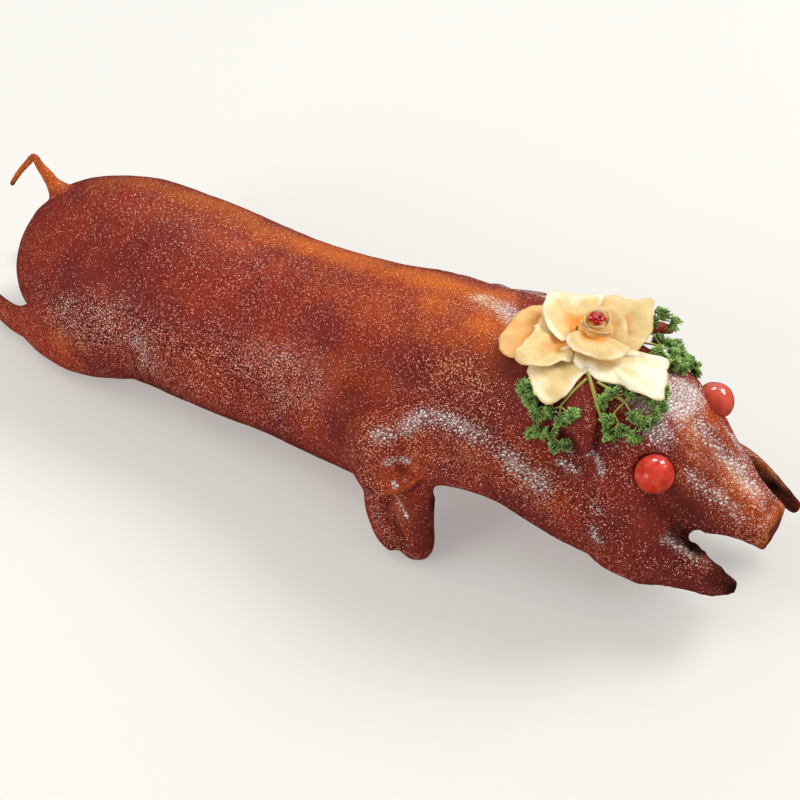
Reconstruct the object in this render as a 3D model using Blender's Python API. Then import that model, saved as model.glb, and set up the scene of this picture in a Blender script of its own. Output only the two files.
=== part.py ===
"""Roast suckling pig, splayed and served belly down: one solid from snout to tail.

The pig looks along +X, its back is up, and its left side is +Y. Sizes below are in millimetres.
"""

import math

import bmesh
import bpy
import numpy as np
from mathutils import Matrix, Vector
from mathutils.bvhtree import BVHTree

MM = 0.001

# Where the bottom centre of the whole lies in these measures. It becomes the origin.
BOTTOM_CENTRE = Vector((-32.4, 0.0, 0.0))

# Trunk and head, one row a station from the rump to the snout: place along X, half width,
# height of the widest point, top, underside, and how square the upper and the lower half are.
TRUNK = (
    (-268, 15, 50, 64, 38, 2.0, 2.0),
    (-263, 33, 50, 79, 24, 2.0, 2.0),
    (-250, 47, 50, 93, 10, 2.0, 2.0),
    (-228, 56, 49, 105, 2, 2.0, 2.1),
    (-195, 63, 49, 113, -2, 2.0, 2.1),
    (-150, 64, 50, 115, -3, 2.0, 2.1),
    (-105, 62, 50, 113, -3, 2.0, 2.1),
    (-60, 61, 51, 116, -3, 2.0, 2.1),
    (-20, 64, 54, 122, -2, 2.0, 2.1),
    (15, 69, 58, 128, 4, 2.0, 2.1),
    (45, 71, 63, 132, 26, 2.0, 2.2),
    (72, 69, 68, 136, 52, 2.1, 2.6),
    (97, 66, 68, 139, 55, 2.1, 2.8),
    (118, 61, 58, 140, 44, 2.1, 2.8),
    (138, 57, 48, 138, 34, 2.1, 2.6),
    (157, 54, 44, 132, 30, 2.2, 2.6),
    (174, 51, 44, 123, 29, 2.3, 2.5),
    (190, 46, 52, 111, 34, 2.4, 2.3),
    (203, 34, 60, 100, 52, 2.4, 2.3),
    (216, 25, 64, 90, 56, 2.4, 2.3),
    (230, 19.5, 63, 82, 52.5, 2.4, 2.2),
    (241, 17, 62.5, 77, 48.5, 2.3, 2.2),
)

# A limb is rows of a centre (x, y, z) and two half sizes, the first along a given direction.
ARM = (
    ((24, 34, 92), 8, 6),
    ((22, 42, 86), 26, 16),
    ((26, 54, 75), 31, 19),
    ((34, 63, 61), 28, 18),
    ((40, 69, 50), 23.5, 15),
    ((41, 70, 48), 20, 12),
)
FOOT = (
    ((40, 66, 60), 18, 13),
    ((45, 71, 42), 18.5, 13.5),
    ((49, 73, 26), 16.5, 12.5),
    ((53, 72, 12), 12.5, 11),
    ((55, 70, 1), 9, 8),
)
FOOT_FOLD = (
    ((29, 68, 48), 10, 9),
    ((31, 75, 34), 9, 9),
    ((38, 78, 18), 8, 8),
    ((45, 78, 7), 6, 6),
)
HAM = (
    ((-140, 30, 54), 10, 10),
    ((-155, 38, 50), 26, 20),
    ((-182, 43, 44), 36, 22),
    ((-212, 43, 42), 35, 19),
    ((-236, 38, 42), 28, 14),
    ((-248, 32, 44), 12, 8),
)
SHANK = (
    ((-160, 36, 30), 8, 8),
    ((-168, 39, 28), 17, 16),
    ((-186, 42, 25), 20, 19),
    ((-208, 44, 22), 21, 20),
    ((-230, 43, 20), 18, 18),
    ((-248, 41, 17), 13, 13),
    ((-262, 41, 13), 8.5, 9),
    ((-276, 39, 13.5), 6.4, 7.0),
    ((-292, 36, 15.5), 6.3, 7.2),
    ((-302, 34, 16), 5.0, 6.0),
    ((-305, 33, 16), 2.5, 3.0),
)
JAW_RIGHT = (
    ((150, -40, 56), 10, 6),
    ((160, -44, 53), 20, 9),
    ((180, -43, 48), 21, 7.5),
    ((196, -38, 46), 19, 6.5),
    ((208, -35, 41), 14.5, 5.5),
    ((222, -33, 37), 10, 4.8),
    ((234, -30, 36), 4, 3.2),
)
JAW_LEFT = (
    ((150, 40, 56), 10, 6),
    ((160, 45, 53), 20, 9),
    ((180, 47, 50), 21, 7.5),
    ((198, 48, 49), 18, 6.0),
    ((213, 48, 44), 13, 5.5),
    ((228, 47, 36), 9, 4.8),
    ((240, 46, 31), 3.5, 3.2),
)
TAIL = (
    ((-234, 0, 88), 13, 13),
    ((-247, 0, 94), 8, 8),
    ((-255, 0, 102), 4.2, 4.2),
    ((-262, 0, 110), 2.7, 2.7),
    ((-266, 0, 115), 2.2, 2.2),
    ((-272, 0, 108), 2.0, 2.0),
    ((-281, 0, 96), 1.8, 1.8),
    ((-288, 0, 85), 1.5, 1.5),
)
EAR_RIGHT = (
    ((118, -12, 131), 7, 5),
    ((123, -19, 134), 12, 5),
    ((129, -27, 132), 11, 4.2),
    ((135, -34.5, 126), 9, 3.8),
    ((140, -41, 119), 7, 3.4),
    ((144, -46, 111), 4.5, 2.8),
    ((146.5, -49, 106), 2.5, 1.8),
)
EAR_LEFT = (
    ((118, 12, 131), 7, 5),
    ((123, 19, 134), 12, 5),
    ((131, 29, 134), 11, 4.2),
    ((138, 38, 132), 9, 3.6),
    ((144, 46, 128), 6.5, 3.0),
    ((148, 51, 124), 3, 2.0),
)

# Creases and folds of the skin: the line they follow on the pig's right side, how far they reach
# and how far the skin stands out, or sinks in where that is negative. The left side has the same.
FOLDS = (
    (((24, -76, 80), (40, -68, 92), (62, -63, 99), (88, -63, 99), (106, -62, 91), (122, -60, 80),
      (140, -57, 70), (158, -54, 62)), 15, 4.0),
    (((8, -60, 96), (32, -54, 107), (56, -50, 114), (80, -49, 118), (102, -51, 113), (122, -51, 102),
      (138, -49, 97)), 21, -5.0),
    (((-6, -66, 56), (-2, -64, 72), (2, -60, 86), (10, -54, 98)), 14, -3.0),
    (((-150, -64, 34), (-154, -64, 54), (-160, -60, 72)), 26, -3.0),
    (((-190, -64, 50), (-180, -63, 44)), 18, 2.0),
    (((30, -78, 70), (38, -78, 68)), 11, 2.5),
    (((46, -73, 78), (50, -74, 72)), 7, -3.0),
    (((40, -83, 52), (45, -84, 42), (50, -85, 27), (53, -84, 12)), 4.5, -3.0),
    (((150, -42, 108), (158, -36, 114), (168, -32, 114), (176, -26, 112)), 8, 2.5),
    (((128, -46, 110), (138, -46, 103), (148, -47, 98)), 7, -2.5),
    (((132, -50, 104), (144, -50, 94)), 8, 1.4),
    (((188, -40, 92), (196, -37, 83), (204, -31, 76)), 13, -6.5),
    (((178, -20, 118), (190, -20, 110), (204, -15, 99), (220, -11, 89), (238, -9, 79)), 6, 2.2),
    (((190, 0, 113), (205, 0, 101), (222, 0, 89)), 9, -1.6),
    (((170, -52, 50), (188, -48, 46)), 15, 2.0),
    (((-257, 0, 82), (-262, 0, 74)), 9, -4.0),
    (((242, -6.5, 63),), 3.4, -3.0),
)

CHERRY_RADIUS = 10.7
CHERRIES = {"cherry_right": (181, -36, 103.5), "cherry_left": (184, 35, 100)}
GAP = 0.3

# The rose stands on the head. A petal: the way it points (degrees), how far out it starts, how long
# and how wide it is, its lean from upright at the foot and at the tip (degrees), how far its sides
# cup upward, and how high it lies in the stack.
ROSE_FOOT = (117, 5, 139)
PETAL_THICKNESS = 1.3
PETALS = (
    (206, 5, 43, 42, 80, 97, 0.06, 1.0),
    (263, 5, 43, 48, 80, 112, -0.04, 3.4),
    (316, 5, 36, 44, 80, 108, 0.02, 3.0),
    (350, 5, 49, 42, 80, 97, 0.04, 3.6),
    (132, 5, 31, 42, 70, 90, 0.08, 1.6),
    (44, 5, 35, 42, 64, 80, 0.12, 2.2),
    (174, 5, 27, 36, 56, 88, 0.14, 3.6),
    (300, 5, 25, 42, 52, 96, 0.12, 6.5),
    (20, 4, 19, 26, 22, 50, 0.34, 3.0),
    (95, 4, 18, 26, 20, 46, 0.34, 3.0),
    (165, 4, 18, 26, 22, 48, 0.34, 3.2),
    (240, 4, 17, 26, 24, 54, 0.34, 3.0),
    (310, 4, 16, 26, 22, 48, 0.34, 3.2),
)
# The bud in the middle of the rose: height and radius, up the outside and down into its mouth.
BUD = ((0, 3), (3, 6.5), (8, 6.8), (13, 6.2), (17, 5.2), (16.7, 3.9), (12, 3.4))
BUD_SQUASH = 0.94
ROOM_UNDER_PETAL = 1.9

# Bits of chopped fruit in the mouth of the bud: one in the middle and the others round it.
HEART_BITS = 7
HEART_BIT_RADIUS = 1.5
HEART_RING = 1.7
HEART_HEIGHT = 13.6
HEART_STEP = 0.5

# A parsley sprig: the spot on the skin it lies on, the way its stems run along the skin, how long
# the bare stems are, and its leaves: the way each points (degrees), how far it reaches and how high
# its ruffled edge stands off the skin.
SPRIGS = {
    "parsley_right": {
        "spot": (116, -40, 122), "along": (-0.75, -0.6, -0.4), "tail": 21,
        "leaves": ((0, 17, 6), (68, 15, 5), (136, 14, 4), (214, 14, 4), (290, 16, 5)),
    },
    "parsley_front": {
        "spot": (151, -23, 127), "along": (0.9, -0.15, -0.4), "tail": 20,
        "leaves": ((5, 18, 6), (78, 15, 4), (140, 13, 4), (215, 15, 5), (290, 18, 6)),
    },
    "parsley_left": {
        "spot": (155, 21, 130), "along": (0.7, 0.6, -0.2), "tail": 16,
        "leaves": ((0, 16, 7), (72, 16, 7), (144, 14, 5), (216, 12, 4), (288, 14, 5)),
    },
}

SPRIG_HEART = 8.0
SPRIG_HEART_HEIGHT = 3.2
SPRIG_HEART_DEPTH = 2.6
LEAF_START = 4.0
LEAF_HALF_ANGLE = 0.66
LEAF_THICKNESS = 1.2
STEM_RADIUS = 1.3
STEMS_ASIDE = (-2.0, 2.4)
ROOM_UNDER_LEAF = 0.8
ROOM_UNDER_ROSE = 2.4

# Base colour, roughness and clear coat of each material.
MATERIALS = {
    "roast_pig": ("glazed_roast_skin", (0.36, 0.085, 0.028), 0.38, 0.6),
    "cherry_right": ("glace_cherry", (0.62, 0.02, 0.015), 0.12, 1.0),
    "cherry_left": ("glace_cherry_far", (0.62, 0.02, 0.015), 0.12, 1.0),
    "rose": ("waxy_rose_petal", (0.90, 0.62, 0.28), 0.55, 0.1),
    "rose_heart": ("chopped_red_fruit", (0.50, 0.03, 0.015), 0.35, 0.4),
    "parsley_right": ("parsley_leaf", (0.06, 0.25, 0.03), 0.6, 0.1),
    "parsley_front": ("parsley_leaf_front", (0.07, 0.28, 0.035), 0.6, 0.1),
    "parsley_left": ("parsley_leaf_left", (0.07, 0.28, 0.035), 0.6, 0.1),
}

# The separate tubes of the pig become one skin through a grid of this cell size. It is softened
# this many times and thinned to this many triangles.
VOXEL = 2.2
SOFTEN = 5
PIG_TRIANGLES = 6300

# Skin lower than this is pressed down to the ground.
GROUND_REACH = 0.25


def between(rows, share):
    """The row of numbers at a share of the way along the table, on a Catmull-Rom curve."""
    last = len(rows) - 1
    at = min(share * last, last - 1e-9)
    i = int(at)
    t = at - i
    p0, p1, p2, p3 = (np.array(rows[min(max(i + k, 0), last)], float) for k in (-1, 0, 1, 2))
    return 0.5 * (
        2 * p1
        + (p2 - p0) * t
        + (2 * p0 - 5 * p1 + 4 * p2 - p3) * t**2
        + (3 * p1 - p0 - 3 * p2 + p3) * t**3
    )


def loft(bm, sections, sides):
    """Skins one closed tube. A section is a function from an angle to a point in millimetres."""
    turn = bm.verts.layers.float.get("turn") or bm.verts.layers.float.new("turn")
    ring = bmesh.ops.create_circle(bm, cap_ends=True, segments=sides, radius=1.0)["verts"]
    for vert in ring:
        vert[turn] = math.atan2(vert.co.y, vert.co.x)
        vert.co = sections[0](vert[turn])
    edges = list({edge for vert in ring for edge in vert.link_edges})
    for section in sections[1:]:
        grown = bmesh.ops.extrude_edge_only(bm, edges=edges)["geom"]
        ring = [g for g in grown if isinstance(g, bmesh.types.BMVert)]
        for vert in ring:
            vert.co = section(vert[turn])
        edges = [g for g in grown if isinstance(g, bmesh.types.BMEdge) and set(g.verts) <= set(ring)]
    bmesh.ops.edgeloop_fill(bm, edges=edges)


def trunk_section(row):
    x, half_width, wide_at, top, bottom, top_power, bottom_power = row

    def point(angle):
        c, s = math.cos(angle), math.sin(angle)
        power, reach = (top_power, top - wide_at) if s >= 0 else (bottom_power, wide_at - bottom)
        y = half_width * math.copysign(abs(c) ** (2 / power), c)
        z = wide_at + reach * math.copysign(abs(s) ** (2 / power), s)
        return Vector((x, y, z))

    return point


def add_trunk(bm, steps=88, sides=48):
    loft(bm, [trunk_section(between(TRUNK, i / steps)) for i in range(steps + 1)], sides)


def add_limb(bm, rows, side=1, wide=Vector((1, 0, 0)), steps=20, sides=20):
    """A tapering limb through the rows. Its first half size lies along the direction wide."""
    flat = [(x, y * side, z, a, b) for (x, y, z), a, b in rows]
    samples = [between(flat, i / steps) for i in range(steps + 1)]
    centres = [Vector(s[:3]) for s in samples]
    sections = []
    for i, sample in enumerate(samples):
        along = (centres[min(i + 1, steps)] - centres[max(i - 1, 0)]).normalized()
        across = along.cross(wide).normalized()
        broad = across.cross(along).normalized()
        frame = (centres[i], broad * sample[3], across * sample[4])
        sections.append(lambda a, f=frame: f[0] + f[1] * math.cos(a) + f[2] * math.sin(a))
    loft(bm, sections, sides)


def mesh_object(name, bm):
    bmesh.ops.recalc_face_normals(bm, faces=bm.faces)
    mesh = bpy.data.meshes.new(name)
    bm.to_mesh(mesh)
    bm.free()
    obj = bpy.data.objects.new(name, mesh)
    bpy.context.scene.collection.objects.link(obj)
    return obj


def settled(obj):
    """The object's mesh as its modifiers leave it, in place of the mesh and the modifiers."""
    graph = bpy.context.evaluated_depsgraph_get()
    mesh = bpy.data.meshes.new_from_object(obj.evaluated_get(graph))
    obj.modifiers.clear()
    obj.data = mesh
    return obj


def fold_skin(obj):
    """Raises and sinks the skin along the folds, on both sides of the pig."""
    mesh = obj.data
    co = np.empty(len(mesh.vertices) * 3)
    mesh.vertices.foreach_get("co", co)
    co = co.reshape(-1, 3)
    out = np.empty(len(mesh.vertices) * 3)
    mesh.vertices.foreach_get("normal", out)
    out = out.reshape(-1, 3)
    lift = np.zeros(len(co))
    for line, reach, height in FOLDS:
        for side in (1, -1):
            points = np.array(line, float) * (1, side, 1)
            near = np.full(len(co), 1e9)
            for start, end in zip(points, np.vstack((points[1:], points[-1:]))):
                run = end - start
                share = np.clip((co - start) @ run / max(run @ run, 1e-9), 0, 1)
                near = np.minimum(near, np.linalg.norm(co - start - share[:, None] * run, axis=1))
            lift += height * np.clip(1 - (near / reach) ** 2, 0, 1) ** 2
    co += out * lift[:, None]
    mesh.vertices.foreach_set("co", co.ravel())
    mesh.update()


def rest_flat(obj):
    """Brings the lowest skin to the ground, which makes the flat faces that the pig rests on."""
    for vert in obj.data.vertices:
        if vert.co.z < GROUND_REACH:
            vert.co.z = 0.0


def thin_out(obj, triangles):
    fewer = obj.modifiers.new("fewer_faces", "DECIMATE")
    fewer.ratio = triangles / sum(len(face.vertices) - 2 for face in obj.data.polygons)
    fewer.use_collapse_triangulate = True
    settled(obj)


def boolean(obj, other, operation):
    step = obj.modifiers.new("cut", "BOOLEAN")
    step.operation = operation
    step.solver = "EXACT"
    step.object = other
    settled(obj)
    bpy.data.objects.remove(other)


def keep_outer_shell(obj):
    """Drops the loose shells a union leaves inside, and keeps the shell with the most faces."""
    bm = bmesh.new()
    bm.from_mesh(obj.data)
    left = set(bm.verts)
    shells = []
    while left:
        shell = set()
        border = [left.pop()]
        while border:
            vert = border.pop()
            shell.add(vert)
            for edge in vert.link_edges:
                other = edge.other_vert(vert)
                if other in left:
                    left.remove(other)
                    border.append(other)
        shells.append(shell)
    shells.sort(key=len)
    for shell in shells[:-1]:
        bmesh.ops.delete(bm, geom=list(shell), context="VERTS")
    bm.to_mesh(obj.data)
    bm.free()


def ball(name, centre, radius, rings=10, sides=14, squash=0.94):
    bm = bmesh.new()
    bmesh.ops.create_uvsphere(bm, u_segments=sides, v_segments=rings, radius=radius)
    bmesh.ops.scale(bm, vec=(1, 1, squash), verts=bm.verts)
    bmesh.ops.translate(bm, vec=Vector(centre), verts=bm.verts)
    bmesh.ops.triangulate(bm, faces=bm.faces)
    return mesh_object(name, bm)


def make_pig():
    bm = bmesh.new()
    add_trunk(bm)
    for side in (-1, 1):
        add_limb(bm, ARM, side)
        add_limb(bm, FOOT, side)
        add_limb(bm, FOOT_FOLD, side)
        add_limb(bm, HAM, side, wide=Vector((0, 0, 1)))
        add_limb(bm, SHANK, side, wide=Vector((0, 0, 1)))
    add_limb(bm, EAR_RIGHT, wide=Vector((0.9, 0.5, 0.4)))
    add_limb(bm, EAR_LEFT, wide=Vector((0.9, -0.5, 0.4)))
    add_limb(bm, JAW_RIGHT, wide=Vector((0, 0.3, 1)))
    add_limb(bm, JAW_LEFT, wide=Vector((0, -0.3, 1)))
    pig = mesh_object("roast_pig", bm)
    remesh = pig.modifiers.new("one_skin", "REMESH")
    remesh.mode = "VOXEL"
    remesh.voxel_size = VOXEL
    smooth = pig.modifiers.new("soften", "SMOOTH")
    smooth.factor = 0.5
    smooth.iterations = SOFTEN
    settled(pig)
    fold_skin(pig)
    rest_flat(pig)
    thin_out(pig, PIG_TRIANGLES)
    rest_flat(pig)
    tail = bmesh.new()
    add_limb(tail, TAIL, wide=Vector((0, 1, 0)), steps=18, sides=10)
    boolean(pig, mesh_object("tail", tail), "UNION")
    for name, centre in CHERRIES.items():
        boolean(pig, ball("socket", centre, CHERRY_RADIUS + GAP), "DIFFERENCE")
    keep_outer_shell(pig)
    return pig


def make_cherries():
    return [ball(name, centre, CHERRY_RADIUS) for name, centre in CHERRIES.items()]


class Skin:
    """Finds points on the finished pig, for the things that lie on it."""

    def __init__(self, pig):
        bm = bmesh.new()
        bm.from_mesh(pig.data)
        self.tree = BVHTree.FromBMesh(bm)
        bm.free()

    def top(self, x, y):
        hit = self.tree.ray_cast(Vector((x, y, 400)), Vector((0, 0, -1)))[0]
        return hit.z if hit else -1e9

    def under(self, point, out):
        return self.tree.ray_cast(point + out * 60, -out)[0]

    def over(self, point, out):
        """How far out from a point the first surface is, or nothing."""
        return self.tree.ray_cast(point, out, 40)[3]


def sheet(bm, columns, rows, thickness, place):
    """A thin solid over a grid. place takes (across -1..1, along 0..1) to a point."""
    grid = bmesh.ops.create_grid(bm, x_segments=columns, y_segments=rows, size=1.0)["verts"]
    faces = list({face for vert in grid for face in vert.link_faces})
    for vert in grid:
        vert.co = place(vert.co.x, vert.co.y * 0.5 + 0.5)
    split = bmesh.ops.triangulate(bm, faces=faces)["faces"]
    for face in split:
        face.normal_update()
    for vert in grid:
        vert.normal_update()
    bmesh.ops.solidify(bm, geom=split, thickness=thickness)


def fused(name, parts):
    """Joins closed bodies that overlap into one closed body."""
    whole = mesh_object(name, parts[0])
    for part in parts[1:]:
        boolean(whole, mesh_object("piece", part), "UNION")
    keep_outer_shell(whole)
    return whole


def petal(spec, number, skin):
    way, start, length, width, foot_lean, tip_lean, cup, layer = spec
    way = math.radians(way)
    out = Vector((math.cos(way), math.sin(way), 0))
    side = Vector((-math.sin(way), math.cos(way), 0))
    up = Vector((0, 0, 1))
    foot = Vector(ROSE_FOOT)

    def place(u, v):
        steps = 12
        spot = out * start
        for i in range(steps):
            lean = math.radians(foot_lean + (tip_lean - foot_lean) * v * (i + 0.5) / steps)
            spot = spot + (out * math.sin(lean) + up * math.cos(lean)) * (length * v / steps)
        half = width / 2 * (0.22 + 0.78 * math.sin(math.pi * min(0.5, 0.62 * v)) ** 0.8)
        tip = 1 - 0.16 * u * u * v
        spot = foot + out * (spot @ out) * tip + up * (spot @ up)
        lean = math.radians(foot_lean + (tip_lean - foot_lean) * v)
        inward = up * math.sin(lean) - out * math.cos(lean)
        wave = 1.6 * math.sin(3.1 * u + 2.3 * number) * v * v
        spot += side * u * half + inward * (cup * half * u * u * 1.6 + wave) + up * layer * v
        floor = skin.top(spot.x, spot.y) + ROOM_UNDER_PETAL + layer * 1.1 * min(1, v * 1.6)
        spot.z = max(spot.z, floor)
        return spot

    large = length > 22
    bm = bmesh.new()
    sheet(bm, 5 if large else 4, 4 if large else 3, PETAL_THICKNESS, place)
    return bm


def make_rose(skin):
    foot = Vector(ROSE_FOOT)
    rings = [
        lambda a, h=h, r=r: foot + Vector((math.cos(a) * r, math.sin(a) * r * BUD_SQUASH, h))
        for h, r in BUD
    ]
    bud = bmesh.new()
    loft(bud, rings, 14)
    parts = [bud] + [petal(spec, i, skin) for i, spec in enumerate(PETALS)]
    return fused("rose", parts)


def clear_of(obj, other):
    """Trims a thing wherever it comes nearer than the gap to another."""
    mesh = other.data.copy()
    for vert in mesh.vertices:
        vert.co = vert.co + vert.normal * GAP
    swollen = bpy.data.objects.new("swollen", mesh)
    bpy.context.scene.collection.objects.link(swollen)
    boolean(obj, swollen, "DIFFERENCE")
    keep_outer_shell(obj)


def make_rose_heart():
    """Chopped red fruit pressed into the mouth of the bud."""
    foot = Vector(ROSE_FOOT)
    parts = []
    for i in range(HEART_BITS):
        tumble = Matrix.Rotation(1.3 * i, 3, Vector((0.3, 0.5, 0.8)))
        turn = 2.4 * i
        reach = HEART_RING if i else 0
        height = HEART_HEIGHT + HEART_STEP * (i % 3)
        bm = bmesh.new()
        bmesh.ops.create_icosphere(bm, subdivisions=1, radius=HEART_BIT_RADIUS)
        bmesh.ops.rotate(bm, matrix=tumble, verts=bm.verts)
        spot = foot + Vector((math.cos(turn) * reach, math.sin(turn) * reach, height))
        bmesh.ops.translate(bm, vec=spot, verts=bm.verts)
        parts.append(bm)
    return fused("rose_heart", parts)


def make_sprig(name, plan, skin, rose):
    spot = Vector(plan["spot"])
    near, normal = skin.tree.find_nearest(spot)[:2]
    ahead = Vector(plan["along"])
    ahead = (ahead - normal * ahead.dot(normal)).normalized()
    across = normal.cross(ahead)

    def on_skin(along, aside, off):
        point = near + ahead * along + across * aside
        hit = skin.under(point, normal) or point
        above = rose.over(hit, normal)
        if above is not None:
            off = min(off, max(above - ROOM_UNDER_ROSE, 0.2))
        return hit + normal * (off + ROOM_UNDER_LEAF)

    parts = []
    core = bmesh.new()
    bmesh.ops.create_icosphere(core, subdivisions=2, radius=1.0)
    for vert in core.verts:
        x, y, z = vert.co
        off = SPRIG_HEART_HEIGHT + z * SPRIG_HEART_DEPTH
        vert.co = on_skin(x * SPRIG_HEART, y * SPRIG_HEART, off)
    parts.append(core)
    for i, (way, reach, height) in enumerate(plan["leaves"]):

        def place(u, v, i=i, way=math.radians(way), reach=reach, height=height):
            turn = way + u * LEAF_HALF_ANGLE
            edge = 1 - 0.14 * u * u + 0.07 * math.cos(7 * u + i)
            far = LEAF_START + (reach - LEAF_START) * v * edge
            ruffle = 1.5 * math.sin(math.pi * 2.5 * u + i) * v * v
            off = 2.2 + (height - 2.2) * v + ruffle
            return on_skin(math.cos(turn) * far, math.sin(turn) * far, max(0.9, off))

        leaf = bmesh.new()
        sheet(leaf, 6, 3, LEAF_THICKNESS, place)
        parts.append(leaf)
    tail = plan["tail"]
    for aside in STEMS_ASIDE:
        rows = []
        for t in range(4):
            centre = on_skin(tail * (t / 3 - 1), aside * (1 + t) / 4, 1.8 + 0.3 * t)
            rows.append((centre, STEM_RADIUS, STEM_RADIUS))
        stem = bmesh.new()
        add_limb(stem, rows, wide=normal, steps=4, sides=5)
        parts.append(stem)
    return fused(name, parts)


def place_at_origin(obj):
    """Millimetres to metres, with the bottom centre of the whole at the origin."""
    obj.data.transform(Matrix.Scale(MM, 4) @ Matrix.Translation(-BOTTOM_CENTRE))
    obj.data.update()


def dress(obj):
    name, colour, roughness, coat = MATERIALS[obj.name]
    material = bpy.data.materials.new(name)
    material.use_nodes = True
    shader = material.node_tree.nodes["Principled BSDF"]
    shader.inputs["Base Color"].default_value = (*colour, 1.0)
    shader.inputs["Roughness"].default_value = roughness
    shader.inputs["Coat Weight"].default_value = coat
    obj.data.materials.clear()
    obj.data.materials.append(material)


def main():
    for obj in list(bpy.data.objects):
        bpy.data.objects.remove(obj)
    pig = make_pig()
    made = [pig, *make_cherries()]
    skin = Skin(pig)
    rose = make_rose(skin)
    clear_of(rose, pig)
    made += [rose, make_rose_heart()]
    for name, plan in SPRIGS.items():
        sprig = make_sprig(name, plan, skin, Skin(rose))
        clear_of(sprig, pig)
        clear_of(sprig, rose)
        made.append(sprig)
    for obj in made:
        place_at_origin(obj)
        dress(obj)


main()
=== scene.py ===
# Roast suckling pig dressed with a rose, curly parsley and glace cherries.
# Shapes are worked in millimetres along the pig. A finished piece is moved to metres,
# with the origin under the middle of the whole.

import math
import random
from functools import partial

import bmesh
import bpy
import numpy as np
from mathutils import Matrix, Vector, noise
from mathutils.bvhtree import BVHTree


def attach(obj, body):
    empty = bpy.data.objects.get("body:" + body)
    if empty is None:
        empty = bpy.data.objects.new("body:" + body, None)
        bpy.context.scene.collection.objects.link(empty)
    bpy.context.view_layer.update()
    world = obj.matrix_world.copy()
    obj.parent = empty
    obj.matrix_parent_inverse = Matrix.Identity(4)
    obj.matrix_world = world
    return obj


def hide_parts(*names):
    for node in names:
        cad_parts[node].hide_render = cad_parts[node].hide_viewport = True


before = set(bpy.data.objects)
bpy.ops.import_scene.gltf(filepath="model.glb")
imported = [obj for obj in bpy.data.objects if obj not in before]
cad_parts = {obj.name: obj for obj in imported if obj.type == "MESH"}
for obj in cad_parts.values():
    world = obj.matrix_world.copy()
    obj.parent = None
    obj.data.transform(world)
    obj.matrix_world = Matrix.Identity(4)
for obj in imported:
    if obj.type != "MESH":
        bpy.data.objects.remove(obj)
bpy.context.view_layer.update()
underMiddle = Vector((-32.4, 0.0, 0.0))  # this spot becomes the origin
mm = 0.001
skyHigh = 400  # rays that look for the skin start up here
down = Vector((0, 0, -1))


# Shapes

def between(rows, share):
    # the row of numbers at a share of the way along a table, on a Catmull-Rom curve
    last = len(rows) - 1
    at = min(max(share, 0.0) * last, last - 1e-9)
    i = int(at)
    t = at - i
    p0, p1, p2, p3 = (np.array(rows[min(max(i + k, 0), last)], float) for k in (-1, 0, 1, 2))
    bend = 2 * p0 - 5 * p1 + 4 * p2 - p3
    return 0.5 * (2 * p1 + (p2 - p0) * t + bend * t**2 + (3 * p1 - p0 - 3 * p2 + p3) * t**3)


def loft(bm, sections, sides):
    # one closed tube: a section is a function from an angle to a point
    turn = bm.verts.layers.float.get("turn") or bm.verts.layers.float.new("turn")
    ring = bmesh.ops.create_circle(bm, cap_ends=True, segments=sides, radius=1.0)["verts"]
    for vert in ring:
        vert[turn] = math.atan2(vert.co.y, vert.co.x)
        vert.co = sections[0](vert[turn])
    edges = list({edge for vert in ring for edge in vert.link_edges})
    for section in sections[1:]:
        grown = bmesh.ops.extrude_edge_only(bm, edges=edges)["geom"]
        ring = [g for g in grown if isinstance(g, bmesh.types.BMVert)]
        for vert in ring:
            vert.co = section(vert[turn])
        edges = [g for g in grown if isinstance(g, bmesh.types.BMEdge) and set(g.verts) <= set(ring)]
    bmesh.ops.edgeloop_fill(bm, edges=edges)


def addLimb(bm, rows, wide, side=1, steps=26, sides=24):
    # a tapering limb: its first half size lies along the direction wide
    flat = [(x, y * side, z, a, b) for (x, y, z), a, b in rows]
    samples = [between(flat, i / steps) for i in range(steps + 1)]
    centres = [Vector(s[:3]) for s in samples]
    sections = []
    for i, sample in enumerate(samples):
        along = (centres[min(i + 1, steps)] - centres[max(i - 1, 0)]).normalized()
        across = along.cross(Vector(wide)).normalized()
        broad = across.cross(along).normalized()
        ring = (centres[i], broad * sample[3], across * sample[4])
        sections.append(lambda a, r=ring: r[0] + r[1] * math.cos(a) + r[2] * math.sin(a))
    loft(bm, sections, sides)


def meshObject(name, bm, outward=True):
    if outward:
        bmesh.ops.recalc_face_normals(bm, faces=bm.faces)
    mesh = bpy.data.meshes.new(name)
    bm.to_mesh(mesh)
    bm.free()
    obj = bpy.data.objects.new(name, mesh)
    bpy.context.scene.collection.objects.link(obj)
    return obj


def settled(obj):
    # the mesh as its modifiers leave it, with no modifier left
    graph = bpy.context.evaluated_depsgraph_get()
    mesh = bpy.data.meshes.new_from_object(obj.evaluated_get(graph))
    obj.modifiers.clear()
    obj.data = mesh
    return obj


def readPoints(obj, what="co"):
    # a row for each vertex: its place, or its normal
    rows = np.empty(len(obj.data.vertices) * 3)
    obj.data.vertices.foreach_get(what, rows)
    return rows.reshape(-1, 3)


def setPoints(obj, co):
    obj.data.vertices.foreach_set("co", np.ascontiguousarray(co).ravel())
    obj.data.update()


def setMask(obj, name, values):
    mask = obj.data.attributes.get(name) or obj.data.attributes.new(name, "FLOAT", "POINT")
    mask.data.foreach_set("value", np.ascontiguousarray(values, dtype=np.float32))


def nearLine(co, line, reach, side=1):
    # 1 on the line, falling softly to 0 at the reach; side -1 mirrors the line
    points = np.array(line, float).reshape(-1, 3) * (1, side, 1)
    near = np.full(len(co), 1e9)
    for start, end in zip(points, np.vstack((points[1:], points[-1:]))):
        run = end - start
        share = np.clip((co - start) @ run / max(run @ run, 1e-9), 0, 1)
        near = np.minimum(near, np.linalg.norm(co - start - share[:, None] * run, axis=1))
    return np.clip(1 - (near / reach) ** 2, 0, 1) ** 2


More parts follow.
